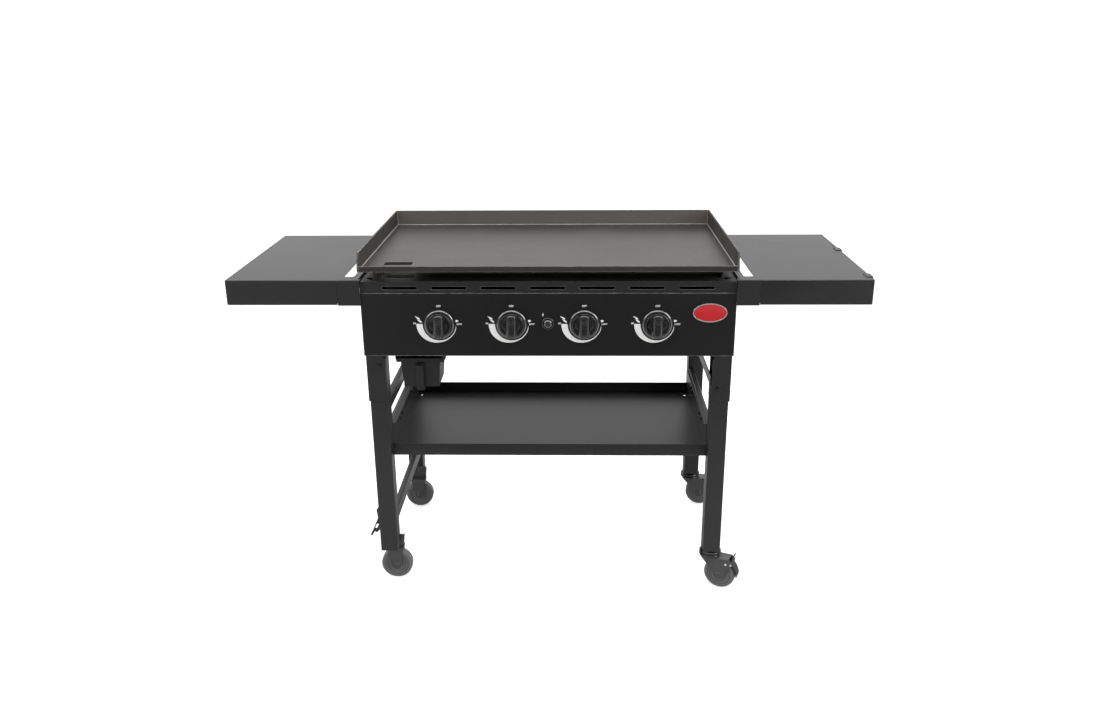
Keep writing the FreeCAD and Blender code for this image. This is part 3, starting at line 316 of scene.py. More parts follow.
def paper_material():
    """White to the camera; for other rays a grey with painted shade that falls off towards the camera's stand."""
    material, tree, shader = new_material("studio_paper")
    place = tree.nodes.new("ShaderNodeNewGeometry")
    reach = tree.nodes.new("ShaderNodeVectorMath")
    reach.operation = "DISTANCE"
    reach.inputs[1].default_value = PAINTED_SHADE_SPOT
    tree.links.new(place.outputs["Position"], reach.inputs[0])
    paper_with_painted_shade = fade_node(tree, reach.outputs["Value"], DARK_FROM, DARK_TO, DARK_LEVEL, BRIGHT_LEVEL)
    sight = tree.nodes.new("ShaderNodeLightPath").outputs["Is Camera Ray"]
    tree.links.new(camera_or_mirror(tree, sight, PAPER, paper_with_painted_shade), shader.inputs["Base Color"])
    shader.inputs["Roughness"].default_value = PAPER_ROUGHNESS
    shader.inputs["Specular IOR Level"].default_value = 0.0
    shader.inputs["Emission Color"].default_value = (1, 1, 1, 1)
    tree.links.new(math_node(tree, "MULTIPLY", sight, PAPER_GLOW), shader.inputs["Emission Strength"])
    return material


def make_floor():
    """Flat square: one face over a grid of two by two points."""
    axis = np.array([-FLOOR_HALF, FLOOR_HALF])
    x, y = np.meshgrid(axis, axis)
    points, corners, _ = grid(np.stack([x, y, np.zeros_like(x)], -1))
    mesh = bpy.data.meshes.new("studio_floor")
    mesh.from_pydata(points.tolist(), [], corners.reshape(-1, 4).tolist())
    mesh.materials.append(paper_material())
    floor = bpy.data.objects.new("studio_floor", mesh)
    bpy.context.scene.collection.objects.link(floor)


make_floor()
print("floor:", 2 * FLOOR_HALF, "m square")

# %% Room
ROOM_SEEN = 1.05
ROOM_BACK = 1.02
ROOM_FRONT = 0.16
ROOM_FADE_FROM, ROOM_FADE_TO = -0.75, 0.45


def make_room():
    """White to the eye; in reflections it is bright behind and above the object, and dark in front."""
    world = bpy.data.worlds.new("studio_room")
    world.use_nodes = True
    tree = world.node_tree
    tree.nodes.clear()
    place = tree.nodes.new("ShaderNodeTexCoord")
    parts = tree.nodes.new("ShaderNodeSeparateXYZ")
    tree.links.new(place.outputs["Generated"], parts.inputs["Vector"])
    uneven = fade_node(tree, parts.outputs["Y"], ROOM_FADE_FROM, ROOM_FADE_TO, ROOM_FRONT, ROOM_BACK)
    sight = tree.nodes.new("ShaderNodeLightPath").outputs["Is Camera Ray"]
    back = tree.nodes.new("ShaderNodeBackground")
    back.inputs["Color"].default_value = (1, 1, 1, 1)
    tree.links.new(camera_or_mirror(tree, sight, ROOM_SEEN, uneven), back.inputs["Strength"])
    out = tree.nodes.new("ShaderNodeOutputWorld")
    tree.links.new(back.outputs["Background"], out.inputs["Surface"])
    bpy.context.scene.world = world


make_room()
print("room: strength", ROOM_SEEN, "to the eye,", ROOM_FRONT, "to", ROOM_BACK, "in reflections")

# %% Lights
# Each light has its place, the point it looks at, its two sides in metres and its power in watts.
LIGHTS = {"overhead_light": ((0, 0.1, 3.4), (0, 0, 0.8), (3.2, 2.2), 60),
          "strip_light": ((0, -1.7, 3.0), (0, -0.25, 0.8), (4.4, 0.6), 30),
          "left_light": ((-2.6, -1.6, 2.3), (0, 0, 0.7), (1.2, 1.8), 18),
          "right_light": ((2.8, -1.4, 2.1), (0, 0, 0.7), (1.2, 1.8), 34)}


def soft_light(name, place, target, size, power):
    """Rectangular soft light that looks at a point."""
    data = bpy.data.lights.new(name, "AREA")
    data.shape = "RECTANGLE"
    data.size, data.size_y = size
    data.energy = power
    light = bpy.data.objects.new(name, data)
    look = (Vector(target) - Vector(place)).to_track_quat("-Z", "Y").to_matrix().to_4x4()
    light.matrix_world = Matrix.Translation(Vector(place)) @ look
    bpy.context.scene.collection.objects.link(light)


for name, settings in LIGHTS.items():
    soft_light(name, *settings)
bpy.context.scene.view_settings.view_transform = "Standard"
print("lights:", len(LIGHTS))

# %% [markdown]
# ## Effects that several finishes share
# Real surfaces are never one flat value. Three effects turn up in nearly every finish here, so each
# is a node group with its own sliders. *Grain* is the fine texture of paint, plastic or rolled
# steel: noise that goes to roughness and to a small bump. *Edge wear* finds the edges by comparing
# the true normal with one averaged over a small radius; paint is thinner and steel is rubbed
# brighter there. *Patina* is a broad, cloudy change over the whole part, as from oil, heat or dust.
# In some finishes the edge colour is made far lighter than wear would make it, so the same mask also paints a
# highlight along folds and edges.

# %% Groups and noise


def new_group(name, inputs, output):
    """Empty node group with float inputs, each with its default, and one float output."""
    group = bpy.data.node_groups.new(name, "ShaderNodeTree")
    for label, default in inputs.items():
        socket = group.interface.new_socket(label, in_out="INPUT", socket_type="NodeSocketFloat")
        socket.default_value = default
    group.interface.new_socket(output, in_out="OUTPUT", socket_type="NodeSocketFloat")
    return group, group.nodes.new("NodeGroupInput"), group.nodes.new("NodeGroupOutput")


def noise_node(tree, vector, scale, detail, roughness=0.5):
    """Noise between 0 and 1, with its scale in cycles per metre."""
    node = tree.nodes.new("ShaderNodeTexNoise")
    tree.links.new(vector, node.inputs["Vector"])
    for label, value in (("Scale", scale), ("Detail", detail), ("Roughness", roughness)):
        feed(tree, node.inputs[label], value)
    return node.outputs["Fac"]


def limited(tree, value):
    """The value kept between 0 and 1."""
    node = tree.nodes.new("ShaderNodeClamp")
    tree.links.new(value, node.inputs["Value"])
    return node.outputs["Result"]


print("group helpers ready")

# %% Grain


def grain_group():
    """Fine noise about zero, plus a weaker layer of half the scale: value = (n1 - .5) + (n2 - .5) / 2."""
    group, source, sink = new_group("grain", {"Scale": 900.0, "Stretch": 1.0}, "Value")
    place = group.nodes.new("ShaderNodeTexCoord")
    stretch = group.nodes.new("ShaderNodeCombineXYZ")
    group.links.new(source.outputs["Stretch"], stretch.inputs["X"])
    stretch.inputs["Y"].default_value = 1.0
    stretch.inputs["Z"].default_value = 1.0
    scaled = group.nodes.new("ShaderNodeVectorMath")
    scaled.operation = "MULTIPLY"
    group.links.new(place.outputs["Object"], scaled.inputs[0])
    group.links.new(stretch.outputs["Vector"], scaled.inputs[1])
    fine = noise_node(group, scaled.outputs["Vector"], source.outputs["Scale"], 2.0)
    half = math_node(group, "MULTIPLY", source.outputs["Scale"], 0.5)
    coarse = noise_node(group, scaled.outputs["Vector"], half, 1.0)
    total = math_node(group, "MULTIPLY_ADD", coarse, 0.5, fine)
    group.links.new(math_node(group, "SUBTRACT", total, 0.75), sink.inputs["Value"])
    return group


GRAIN = grain_group()
print("group:", GRAIN.name)

# %% Edge wear and painted edge highlight
# This mask is real edge wear, and in some finishes also a painted highlight along folds and edges.
EDGE_GAIN = 6.0
EDGE_PATCHES = 60.0


def edge_group():
    """Edge mask: gain (1 - true normal . averaged normal), broken up by patches (2 noise - 0.35)."""
    group, source, sink = new_group("edge_wear_and_highlight", {"Radius": 0.002, "Amount": 1.0}, "Mask")
    soft = group.nodes.new("ShaderNodeBevel")
    soft.samples = 4
    group.links.new(source.outputs["Radius"], soft.inputs["Radius"])
    true = group.nodes.new("ShaderNodeNewGeometry")
    dot = group.nodes.new("ShaderNodeVectorMath")
    dot.operation = "DOT_PRODUCT"
    group.links.new(soft.outputs["Normal"], dot.inputs[0])
    group.links.new(true.outputs["Normal"], dot.inputs[1])
    bend = math_node(group, "SUBTRACT", 1.0, dot.outputs["Value"])
    place = group.nodes.new("ShaderNodeTexCoord")
    patches = noise_node(group, place.outputs["Object"], EDGE_PATCHES, 4.0)
    patches = math_node(group, "MULTIPLY_ADD", patches, 2.0, -0.35)
    mask = math_node(group, "MULTIPLY", math_node(group, "MULTIPLY", bend, EDGE_GAIN), patches)
    mask = math_node(group, "MULTIPLY", mask, source.outputs["Amount"])
    group.links.new(limited(group, mask), sink.inputs["Mask"])
    return group


EDGE_WEAR_AND_HIGHLIGHT = edge_group()
print("group:", EDGE_WEAR_AND_HIGHLIGHT.name)

# %% Patina
WARP_SCALE = 4.0
WARP_REACH = 0.25


def patina_group():
    """Cloudy mask from 0 to 1: broad noise, warped by a second noise so that it has no regular cells."""
    group, source, sink = new_group("patina", {"Scale": 3.0, "Contrast": 2.0}, "Mask")
    place = group.nodes.new("ShaderNodeTexCoord")
    warp = group.nodes.new("ShaderNodeTexNoise")
    warp.inputs["Scale"].default_value = WARP_SCALE
    group.links.new(place.outputs["Object"], warp.inputs["Vector"])
    moved = group.nodes.new("ShaderNodeVectorMath")
    moved.operation = "MULTIPLY_ADD"
    moved.inputs[1].default_value = (WARP_REACH, WARP_REACH, WARP_REACH)
    group.links.new(warp.outputs["Color"], moved.inputs[0])
    group.links.new(place.outputs["Object"], moved.inputs[2])
    cloud = noise_node(group, moved.outputs["Vector"], source.outputs["Scale"], 6.0, 0.62)
    centred = math_node(group, "SUBTRACT", cloud, 0.5)
    spread = math_node(group, "MULTIPLY_ADD", centred, source.outputs["Contrast"], 0.5)
    group.links.new(limited(group, spread), sink.inputs["Mask"])
    return group


PATINA = patina_group()
print("group:", PATINA.name)

# %% [markdown]
# ## Finishes
# Every finish follows the same plan: a base colour that the patina and the worn edges shift a
# little, a roughness that grain and patina disturb, and a bump from the grain. What changes from
# one finish to the next is how strong each is and whether the surface is metal. Grain and patina
# are in cycles per metre, because the patterns read the object's own coordinates; the wear's radius
# and the bump's height are in metres.

# %% A finish from the three effects


def grey(level):
    """A grey as three equal colour values."""
    return (level, level, level)


def effect(tree, group, **values):
    """One of the groups as a node, with its inputs set by their names in small letters."""
    node = tree.nodes.new("ShaderNodeGroup")
    node.node_tree = group
    for name, value in values.items():
        node.inputs[name.capitalize()].default_value = value
    return node.outputs[0]


def blended(tree, mask, low, high):
    """Colour between low and high by a mask. low may be an output or a colour."""
    node = tree.nodes.new("ShaderNodeMix")
    node.data_type = "RGBA"
    tree.links.new(mask, node.inputs["Factor"])
    for label, value in (("A", low), ("B", high)):
        socket = next(s for s in node.inputs if s.name == label and s.type == "RGBA")
        if isinstance(value, tuple):
            socket.default_value = (*value, 1)
        else:
            tree.links.new(value, socket)
    return next(s for s in node.outputs if s.type == "RGBA")


# The edge colour is real wear on most finishes; on the body's folds, the panel and the griddle's side walls and
# lip it is a painted highlight.
def finish(name, color, cloudy, worn_and_highlit, roughness, spread=0.08, metal=0.0, grain=900.0, stretch=1.0,
           bump=0.00003, patina=3.0, contrast=2.0, wear_and_highlight=0.6, radius=0.0015, coat=0.0, clouds=0.35):
    """Material with patina between two colours, lighter edges for wear and, in some finishes, for a painted
    highlight, uneven roughness and a fine bump.
    """
    material, tree, shader = new_material(name)
    mask = effect(tree, PATINA, scale=patina, contrast=contrast)
    edge = effect(tree, EDGE_WEAR_AND_HIGHLIGHT, radius=radius, amount=wear_and_highlight)
    speck = effect(tree, GRAIN, scale=grain, stretch=stretch)
    tinted = blended(tree, mask, color, cloudy)
    tree.links.new(blended(tree, edge, tinted, worn_and_highlit), shader.inputs["Base Color"])
    rough = math_node(tree, "MULTIPLY_ADD", speck, spread, roughness)
    rough = math_node(tree, "MULTIPLY_ADD", mask, clouds * spread, rough)
    tree.links.new(rough, shader.inputs["Roughness"])
    shader.inputs["Metallic"].default_value = metal
    shader.inputs["Coat Weight"].default_value = coat
    lift = tree.nodes.new("ShaderNodeBump")
    lift.inputs["Distance"].default_value = bump
    lift.inputs["Strength"].default_value = 1.0
    tree.links.new(speck, lift.inputs["Height"])
    tree.links.new(lift.outputs["Normal"], shader.inputs["Normal"])
    return material


print("finish helpers ready")

# %% [markdown]
# ## Painted steel
# The cart and the body are powder coated: a black skin, baked on, with a fine even texture. Paint
# pulls back from edges and gets rubbed there, so its worn colour is lighter; on the body's folds and
# the panel's edges the edge colour is made far lighter still, which paints a highlight line along
# them. The cup and the panel get a blacker copy of the coat, which is painted shade, and the level
# faces under the hot plate a lighter, dull grey, which is painted light in the plate's shadow. A coat
# is not metal to light, so its metallic value stays at zero; only the casters' thin dark coat lets
# some steel through.

# %% Black coats
COAT_TEXTURE = {"spread": 0.10, "grain": 1400, "bump": 0.00006}
BODY_BLACK = (0.019, 0.019, 0.0195)
BODY_BLACK_CLOUDY = (0.025, 0.025, 0.026)

COAT = finish("black_powder_coat", BODY_BLACK, BODY_BLACK_CLOUDY, grey(0.08), roughness=0.35, **COAT_TEXTURE)
# Painted highlight: on the body's front sheet the edge colour is far lighter than its paint, so its folds show a
# bright line.
COAT_WITH_PAINTED_FOLD_HIGHLIGHT = finish("black_coat_painted_fold_highlight", BODY_BLACK, BODY_BLACK_CLOUDY, grey(0.26), roughness=0.35,
                   wear_and_highlight=1.0, radius=0.0025, **COAT_TEXTURE)
# Painted shade: the cup, its handle and its rails get a darker copy of the body's black coat.
CUP_COAT_PAINTED_SHADE = finish("cup_coat_painted_shade", (0.009, 0.009, 0.010), (0.012, 0.012, 0.013), grey(0.06),
                  roughness=0.42, **COAT_TEXTURE)
# Painted shade and painted highlight: the panel's coat is a darker copy of the body's black, and its light edge
# colour draws a bright line along the panel's folds.
PANEL_COAT_PAINTED_SHADE_AND_HIGHLIGHT = finish("panel_coat_painted_shade_and_highlight", (0.006, 0.006, 0.0065), (0.009, 0.009, 0.0095), grey(0.50),
                    roughness=0.34, spread=0.06, grain=1700, bump=0.00003, wear_and_highlight=1.7, radius=0.003)
# Painted light: the deck's level faces lie in the plate's shadow, and this lighter grey stands in for light there.
DECK_PAINTED_LIGHT = finish("deck_painted_light", (0.075, 0.074, 0.072), (0.055, 0.054, 0.052), grey(0.16),
                roughness=0.55, spread=0.12, grain=1100, bump=0.00006, patina=7)
CASTER = finish("dark_pressed_steel", (0.092, 0.092, 0.093), grey(0.11), grey(0.22), roughness=0.42,
                metal=0.25, grain=900)
print("materials so far, with the construction's own:", len(bpy.data.materials))

# %% [markdown]
# ## Steel of the griddle
# The plate and its walls are bare rolled steel under a baked film of oil. The film is brown and
# uneven, so the patina is strong here and the roughness follows it. Rolling leaves faint lines from
# left to right: the grain is stretched along X. The film makes steel mirror less, which is why the
# metallic value lies below one, and lowest on the walls, where it has built up most.

# %% Seasoned steel
ROLLED = {"spread": 0.16, "grain": 700, "stretch": 0.12, "bump": 0.00005, "radius": 0.002, "clouds": 1.0}
WALL_FILM = {"roughness": 0.46, "patina": 4.0, "contrast": 2.2, "wear_and_highlight": 1.2}

STEEL = finish("seasoned_plate_steel", (0.073, 0.069, 0.064), (0.105, 0.099, 0.092), (0.26, 0.25, 0.23),
               roughness=0.33, metal=0.80, patina=2.2, contrast=2.4, wear_and_highlight=1.0, **ROLLED)
# Painted highlight: the side walls' and the front lip's edge colour is far lighter than their steel, drawing a
# bright line along their edges.
WALL_STEEL_PAINTED_EDGE_HIGHLIGHT = finish("seasoned_wall_steel_painted_edge_highlight", (0.054, 0.050, 0.046), (0.040, 0.037, 0.034), (0.62, 0.60, 0.56),
                    metal=0.35, **WALL_FILM, **ROLLED)
# Painted light: a lighter copy of the walls' steel for the back wall and for the apron, which lies in the plate's
# shadow.
WALL_STEEL_PAINTED_LIGHT = finish("seasoned_wall_steel_painted_light", (0.185, 0.172, 0.158), (0.145, 0.132, 0.118),
                    (0.34, 0.33, 0.31), metal=0.25, **WALL_FILM, **ROLLED)
BEAD = finish("weld_bead", (0.36, 0.345, 0.32), (0.25, 0.235, 0.215), (0.5, 0.48, 0.45), roughness=0.42,
              metal=0.5, grain=1500, patina=30, contrast=3)
print("materials so far, with the construction's own:", len(bpy.data.materials))

# %% [markdown]
# ## Plated and bare metal
# Small fittings keep their metal in sight. Zinc is pale and dull, brass is yellow, a burner tube is
# browned by heat, and the knobs' rings are dark and smooth. Metal differs from paint by a metallic
# value at or near one, so that its base colour tints what it mirrors. The black bolts and the
# bright rivets have less, because they show more of a colour of their own.

# %% Metals
ZINC = finish("zinc_plated_steel", (0.42, 0.42, 0.41), (0.33, 0.33, 0.32), grey(0.6), roughness=0.38,
              metal=1.0, grain=600)
BOLT = finish("black_bolt", (0.010, 0.010, 0.0105), grey(0.016), grey(0.10), roughness=0.30,
              metal=0.4, grain=1200)
BURNT = finish("heat_dulled_tube", (0.30, 0.28, 0.26), (0.20, 0.17, 0.15), (0.42, 0.40, 0.38),
               roughness=0.5, metal=1.0, grain=500, patina=6, contrast=3)
RACE = finish("black_plated_race", (0.090, 0.090, 0.092), (0.060, 0.060, 0.061), grey(0.50),
              roughness=0.14, spread=0.06, metal=1.0, grain=900, bump=0.00002, wear_and_highlight=1.0, radius=0.002)
RIVET = finish("bright_rivet", (0.90, 0.90, 0.89), (0.80, 0.80, 0.79), grey(0.95), roughness=0.35,
               metal=0.3, grain=900)
BRASS = finish("turned_brass", (0.60, 0.42, 0.18), (0.45, 0.31, 0.13), (0.8, 0.62, 0.32), roughness=0.3,
               metal=1.0, grain=900, stretch=0.1)
ALLOY = finish("stem_alloy", grey(0.55), grey(0.45), grey(0.7), roughness=0.3, metal=1.0, grain=900)
RING = finish("dark_chrome_ring", (0.22, 0.22, 0.224), (0.17, 0.17, 0.173), grey(0.40),
              roughness=0.20, spread=0.05, metal=1.0, grain=1200, bump=0.00001)
SILVER = finish("silver_rim", grey(0.62), grey(0.50), grey(0.85), roughness=0.28, metal=0.9, grain=1500)
print("materials so far, with the construction's own:", len(bpy.data.materials))

# %% [markdown]
# ## Plastic, rubber, enamel and print
# The knobs are glossy plastic, which is a dark body under a clear, smooth skin: the coat does that.
# The wheels' rubber is a dusty dark grey. The badge's enamel is a glassy red. Print on the panel is
# a thin layer of silver ink; a little glow is added to it, painted light, though the ink is no lamp,
# which keeps such thin letters readable in the panel's dark, as the photograph shows them.

# %% Plastic, rubber, enamel, print
# Painted light: a small glow in the ink, though it is no lamp.
PRINT_PAINTED_GLOW_TINT = (1, 1, 0.97, 1)
PRINT_PAINTED_GLOW = 0.22

GLOSS = finish("glossy_black_plastic", (0.012, 0.012, 0.013), (0.016, 0.016, 0.017), grey(0.03),
               roughness=0.26, spread=0.05, grain=1600, bump=0.00001, coat=1.0)
CASE = finish("plain_black_plastic", grey(0.012), grey(0.02), grey(0.05), roughness=0.42, grain=1500,
              bump=0.00004)
RUBBER = finish("hard_dark_rubber", (0.180, 0.180, 0.183), (0.210, 0.208, 0.203), grey(0.27),
                roughness=0.50, spread=0.15, grain=700, bump=0.00008, patina=9, wear_and_highlight=0.5)
ENAMEL = finish("red_enamel", (0.78, 0.030, 0.040), (0.66, 0.022, 0.030), (0.85, 0.14, 0.14),
                roughness=0.22, spread=0.05, grain=1500, bump=0.00001, coat=0.6)
PRINT = finish("silver_print", (0.90, 0.90, 0.89), (0.80, 0.80, 0.79), grey(0.9), roughness=0.5,
               grain=2200, bump=0.00001, patina=40)
ink = PRINT.node_tree.nodes["Principled BSDF"]
ink.inputs["Emission Color"].default_value = PRINT_PAINTED_GLOW_TINT
ink.inputs["Emission Strength"].default_value = PRINT_PAINTED_GLOW
print("materials so far, with the construction's own:", len(bpy.data.materials))

# %% [markdown]
# ## Sheets and tubes with rounded edges
# Folded sheet has no sharp edges: the bend has a radius, and the cut edge is softened by its paint.
# A knife-sharp edge is what gives a computer model away, because a real edge always catches a thin
# line of light. The construction's meshes stay as they are; each is copied, its triangles are
# joined into whole faces, and a Bevel modifier rounds its edges by a real amount.

# %% Copies with rounded edges
EDGE_STEPS = 2
EDGE_ANGLE = 32
FLAT_ANGLE = 0.5


def rounded_copy(node, material, millimetres):
    """Copy of a construction mesh with its doubles merged, flat faces joined and edges rounded."""
    mesh = nodes[node].data.copy()
    mesh.name = node + "_finished"
    work = bmesh.new()
    work.from_mesh(mesh)
    bmesh.ops.remove_doubles(work, verts=work.verts, dist=DOUBLE_REACH)
    bmesh.ops.dissolve_limit(work, angle_limit=math.radians(FLAT_ANGLE), verts=work.verts, edges=work.edges)
    work.to_mesh(mesh)
    work.free()
    smoothed_angle(mesh, EDGE_ANGLE)
    mesh.materials.clear()
    mesh.materials.append(material)
    made = bpy.data.objects.new(node + "_finished", mesh)
    bpy.context.scene.collection.objects.link(made)
    edge = made.modifiers.new("rounded_edges", "BEVEL")
    edge.width = millimetres * MILLI
    edge.segments = EDGE_STEPS
    edge.limit_method = "ANGLE"
    edge.angle_limit = math.radians(EDGE_ANGLE)
    edge.use_clamp_overlap = False
    edge.harden_normals = True
    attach(made, body_of[node])
    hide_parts(node)
    return made


print("edges sharper than", EDGE_ANGLE, "degrees are rounded")

# %% Painted sheets and tubes
COATED = {"body_front": 0.6, "body_sides": 0.6, "body_back": 0.6, "grease_cup": 0.5,
          "cup_handle": 0.6, "cup_rails": 0.5, "left_shelf": 0.6, "right_shelf": 0.6, "shelf_arms": 0.6,
          "tool_strip": 0.4, "left_sleeves": 0.7, "right_sleeves": 0.7, "left_legs": 0.5,
          "right_legs": 0.5, "left_rails": 0.5, "right_rails": 0.5, "bottom_shelf": 0.6,
          "tank_hook": 0.6}
# The body's front sheet takes the coat with painted fold highlights; the cup, handle and rails take the coat with
# painted shade.
COAT_OF = {"body_front": COAT_WITH_PAINTED_FOLD_HIGHLIGHT, "grease_cup": CUP_COAT_PAINTED_SHADE, "cup_handle": CUP_COAT_PAINTED_SHADE, "cup_rails": CUP_COAT_PAINTED_SHADE}
for node, millimetres in COATED.items():
    rounded_copy(node, COAT_OF.get(node, COAT), millimetres)
print("painted parts:", len(COATED))

# %% Panel, griddle, forks, pedals and bolts
WALLS = ("griddle_back_wall", "griddle_left_wall", "griddle_right_wall", "griddle_front_lip", "griddle_apron")
# The back wall and the apron take the lighter copy of the walls' steel, which is painted light.
WALL_FINISHES = {"griddle_back_wall": WALL_STEEL_PAINTED_LIGHT, "griddle_apron": WALL_STEEL_PAINTED_LIGHT}
FORKS = ("front_fixed_fork", "back_fixed_fork", "front_caster_fork", "back_caster_fork")
PEDALS = ("front_brake_pedal", "back_brake_pedal")

# The panel's finish carries painted shade and painted edge highlights.
rounded_copy("control_panel", PANEL_COAT_PAINTED_SHADE_AND_HIGHLIGHT, 0.5)
rounded_copy("griddle_plate", STEEL, 0.5)
for node in WALLS:
    rounded_copy(node, WALL_FINISHES.get(node, WALL_STEEL_PAINTED_EDGE_HIGHLIGHT), 0.9)
for node in FORKS:
    rounded_copy(node, CASTER, 0.5)
for node in PEDALS:
    rounded_copy(node, CASE, 0.6)
rounded_copy("frame_bolts", BOLT, 0.3)

# %% [markdown]
# ## Painted light on the deck
# The body's front sheet folds back under the cooking plate. Its level faces there lie in the plate's
# shadow and are painted a lighter grey, painted light that stands in for light on the deck, while
# the same sheet stays black outside. The change follows the sheet's own faces, so no mask has to be
# painted: a mesh may carry two materials, and the level faces near the sheet's highest point get the
# lighter one.

# %% Faces painted lighter
DECK_BAND = 4 * MILLI
LEVEL_ENOUGH = 0.9


def paint_light_on_deck():
    """Second finish, the painted light, on the faces whose normal points up and whose centre lies within the top
    band.
    """
    mesh = bpy.data.objects["body_front_finished"].data
    mesh.materials.append(DECK_PAINTED_LIGHT)
    count = len(mesh.polygons)
    normal, centre = np.empty(count * 3), np.empty(count * 3)
    mesh.polygons.foreach_get("normal", normal)
    mesh.polygons.foreach_get("center", centre)
    normal, centre = normal.reshape(-1, 3), centre.reshape(-1, 3)
    top = centre[:, 2].max()
    level = (normal[:, 2] > LEVEL_ENOUGH) & (centre[:, 2] > top - DECK_BAND)
    mesh.polygons.foreach_set("material_index", level.astype(np.int32))
    return int(level.sum())


print("greyed faces:", paint_light_on_deck())

# %% [markdown]
# ## Parts inside the body and behind it
# The pan, the burners, the gas pipe and the stems are hardly ever seen, and the gas inlet is small.
# Their construction mesh is good enough, so they only change material. That keeps the model light
# where few people look.

# %% Parts that keep their construction mesh
FOUR_PLACES = (1, 2, 3, 4)
PLAIN = {"body_pan": ZINC, "drain_chute": ZINC, "gas_manifold": ZINC, "gas_inlet": BRASS,
         "igniter_module": CASE}
PLAIN.update({f"burner_{index}": BURNT for index in FOUR_PLACES})
PLAIN.update({f"knob_stem_{index}": ALLOY for index in FOUR_PLACES})
for node, material in PLAIN.items():
    nodes[node].data.materials.clear()
    nodes[node].data.materials.append(material)
print("plain nodes:", len(PLAIN))

# %% [markdown]
# ## Weld beads
# The walls are welded to the plate from inside. A weld is a row of small overlapping puddles, so
# its surface is a rod whose radius swells and shrinks at a steady pitch. Lying in the corner, only
# a quarter of it shows, as a fine bright line along the plate's edge.

# %% Welds round the plate
BEAD_RADIUS = 2.0
BEAD_PITCH = 5.0
BEAD_RIPPLE = 0.14
BEAD_STEPS = 4
BEAD_SIDES = 8


def bead(start, end):
    """Rod from start to end with ripples: r(s) = R (1 + 0.14 cos(2 pi s / pitch))."""
    start, end = np.asarray(start, float), np.asarray(end, float)
    run = end - start
    length = np.linalg.norm(run)
    count = int(length / MILLI / BEAD_PITCH * BEAD_STEPS)
    distance = np.linspace(0, length, count)
    ripple = BEAD_RIPPLE * np.cos(2 * np.pi * distance / (BEAD_PITCH * MILLI))
    profile = np.stack([BEAD_RADIUS * MILLI * (1 + ripple), distance], -1)
    return placed(capped(turned_rings(profile, BEAD_SIDES)), start, along=tuple(run))


def plate_welds():
    """Beads along the plate's left, back and right edges, and up both corners of the back wall."""
    low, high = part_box("griddle_plate")
    top = high[2]
    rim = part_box("griddle_back_wall")[1][2] - BEAD_RADIUS * MILLI
    corners = [(low[0], low[1]), (low[0], high[1]), (high[0], high[1]), (high[0], low[1])]
    runs = [bead((*a, top), (*b, top)) for a, b in zip(corners, corners[1:])]
    uprights = [bead((x, high[1], top), (x, high[1], rim)) for x in (low[0], high[0])]
    return piece("plate_welds", merged(*runs, *uprights), BEAD, "griddle", crisp=60)


welds = plate_welds()
print("welds:", len(welds.data.vertices), "points")

# %% [markdown]
# ## Knobs
# The knob is moulded in glossy black plastic. Its skirt is a turned disc with a raised rim; across
# it lies a grip bar, rounded on its shoulders, wider at its foot, and with a small oval dimple that
# points at the setting. The skirt is a plain turning. The grip could be sculpted, but a section
# given by a formula keeps its curves clean under a gloss that shows every dent.

# %% Skirt of a knob
SKIRT_DEPTH = 8.0
SKIRT_FACE = 5.0
SKIRT_ROUND = 1.0
RIM_ROUND = 2.4
RIM_WIDTH = 5.6
RIM_FOOT = 5.4


def knob_skirt(radius):
    """Turned skirt: a flat back, a round raised rim and a shallow face."""
    edge = radius - SKIRT_ROUND
    profile = np.vstack([[(0, 0), (edge, 0)], arc((edge, SKIRT_ROUND), SKIRT_ROUND, -90, 0, 3),
                         arc((radius - RIM_ROUND, SKIRT_DEPTH - RIM_ROUND), RIM_ROUND, 0, 160, 12),
                         [(radius - RIM_WIDTH, RIM_FOOT), (radius / 2, SKIRT_FACE), (0, SKIRT_FACE)]])
    return lathe(profile * MILLI, steps=96)


print("the skirt stands", SKIRT_DEPTH, "mm deep, its face", SKIRT_FACE)

# %% Grip of a knob
GRIP_REACH = 30.4
GRIP_BASE = 4.6
GRIP_SINK = 1.5
GRIP_HALF = 13.4
GRIP_FLARE = 2.0
GRIP_FALL = 0.07
GRIP_ROWS = 61
GRIP_SIDES = 64
DIMPLE_DEPTH = 1.5
DIMPLE_PLACE = 15.0
DIMPLE_ACROSS, DIMPLE_ALONG = 3.2, 5.0


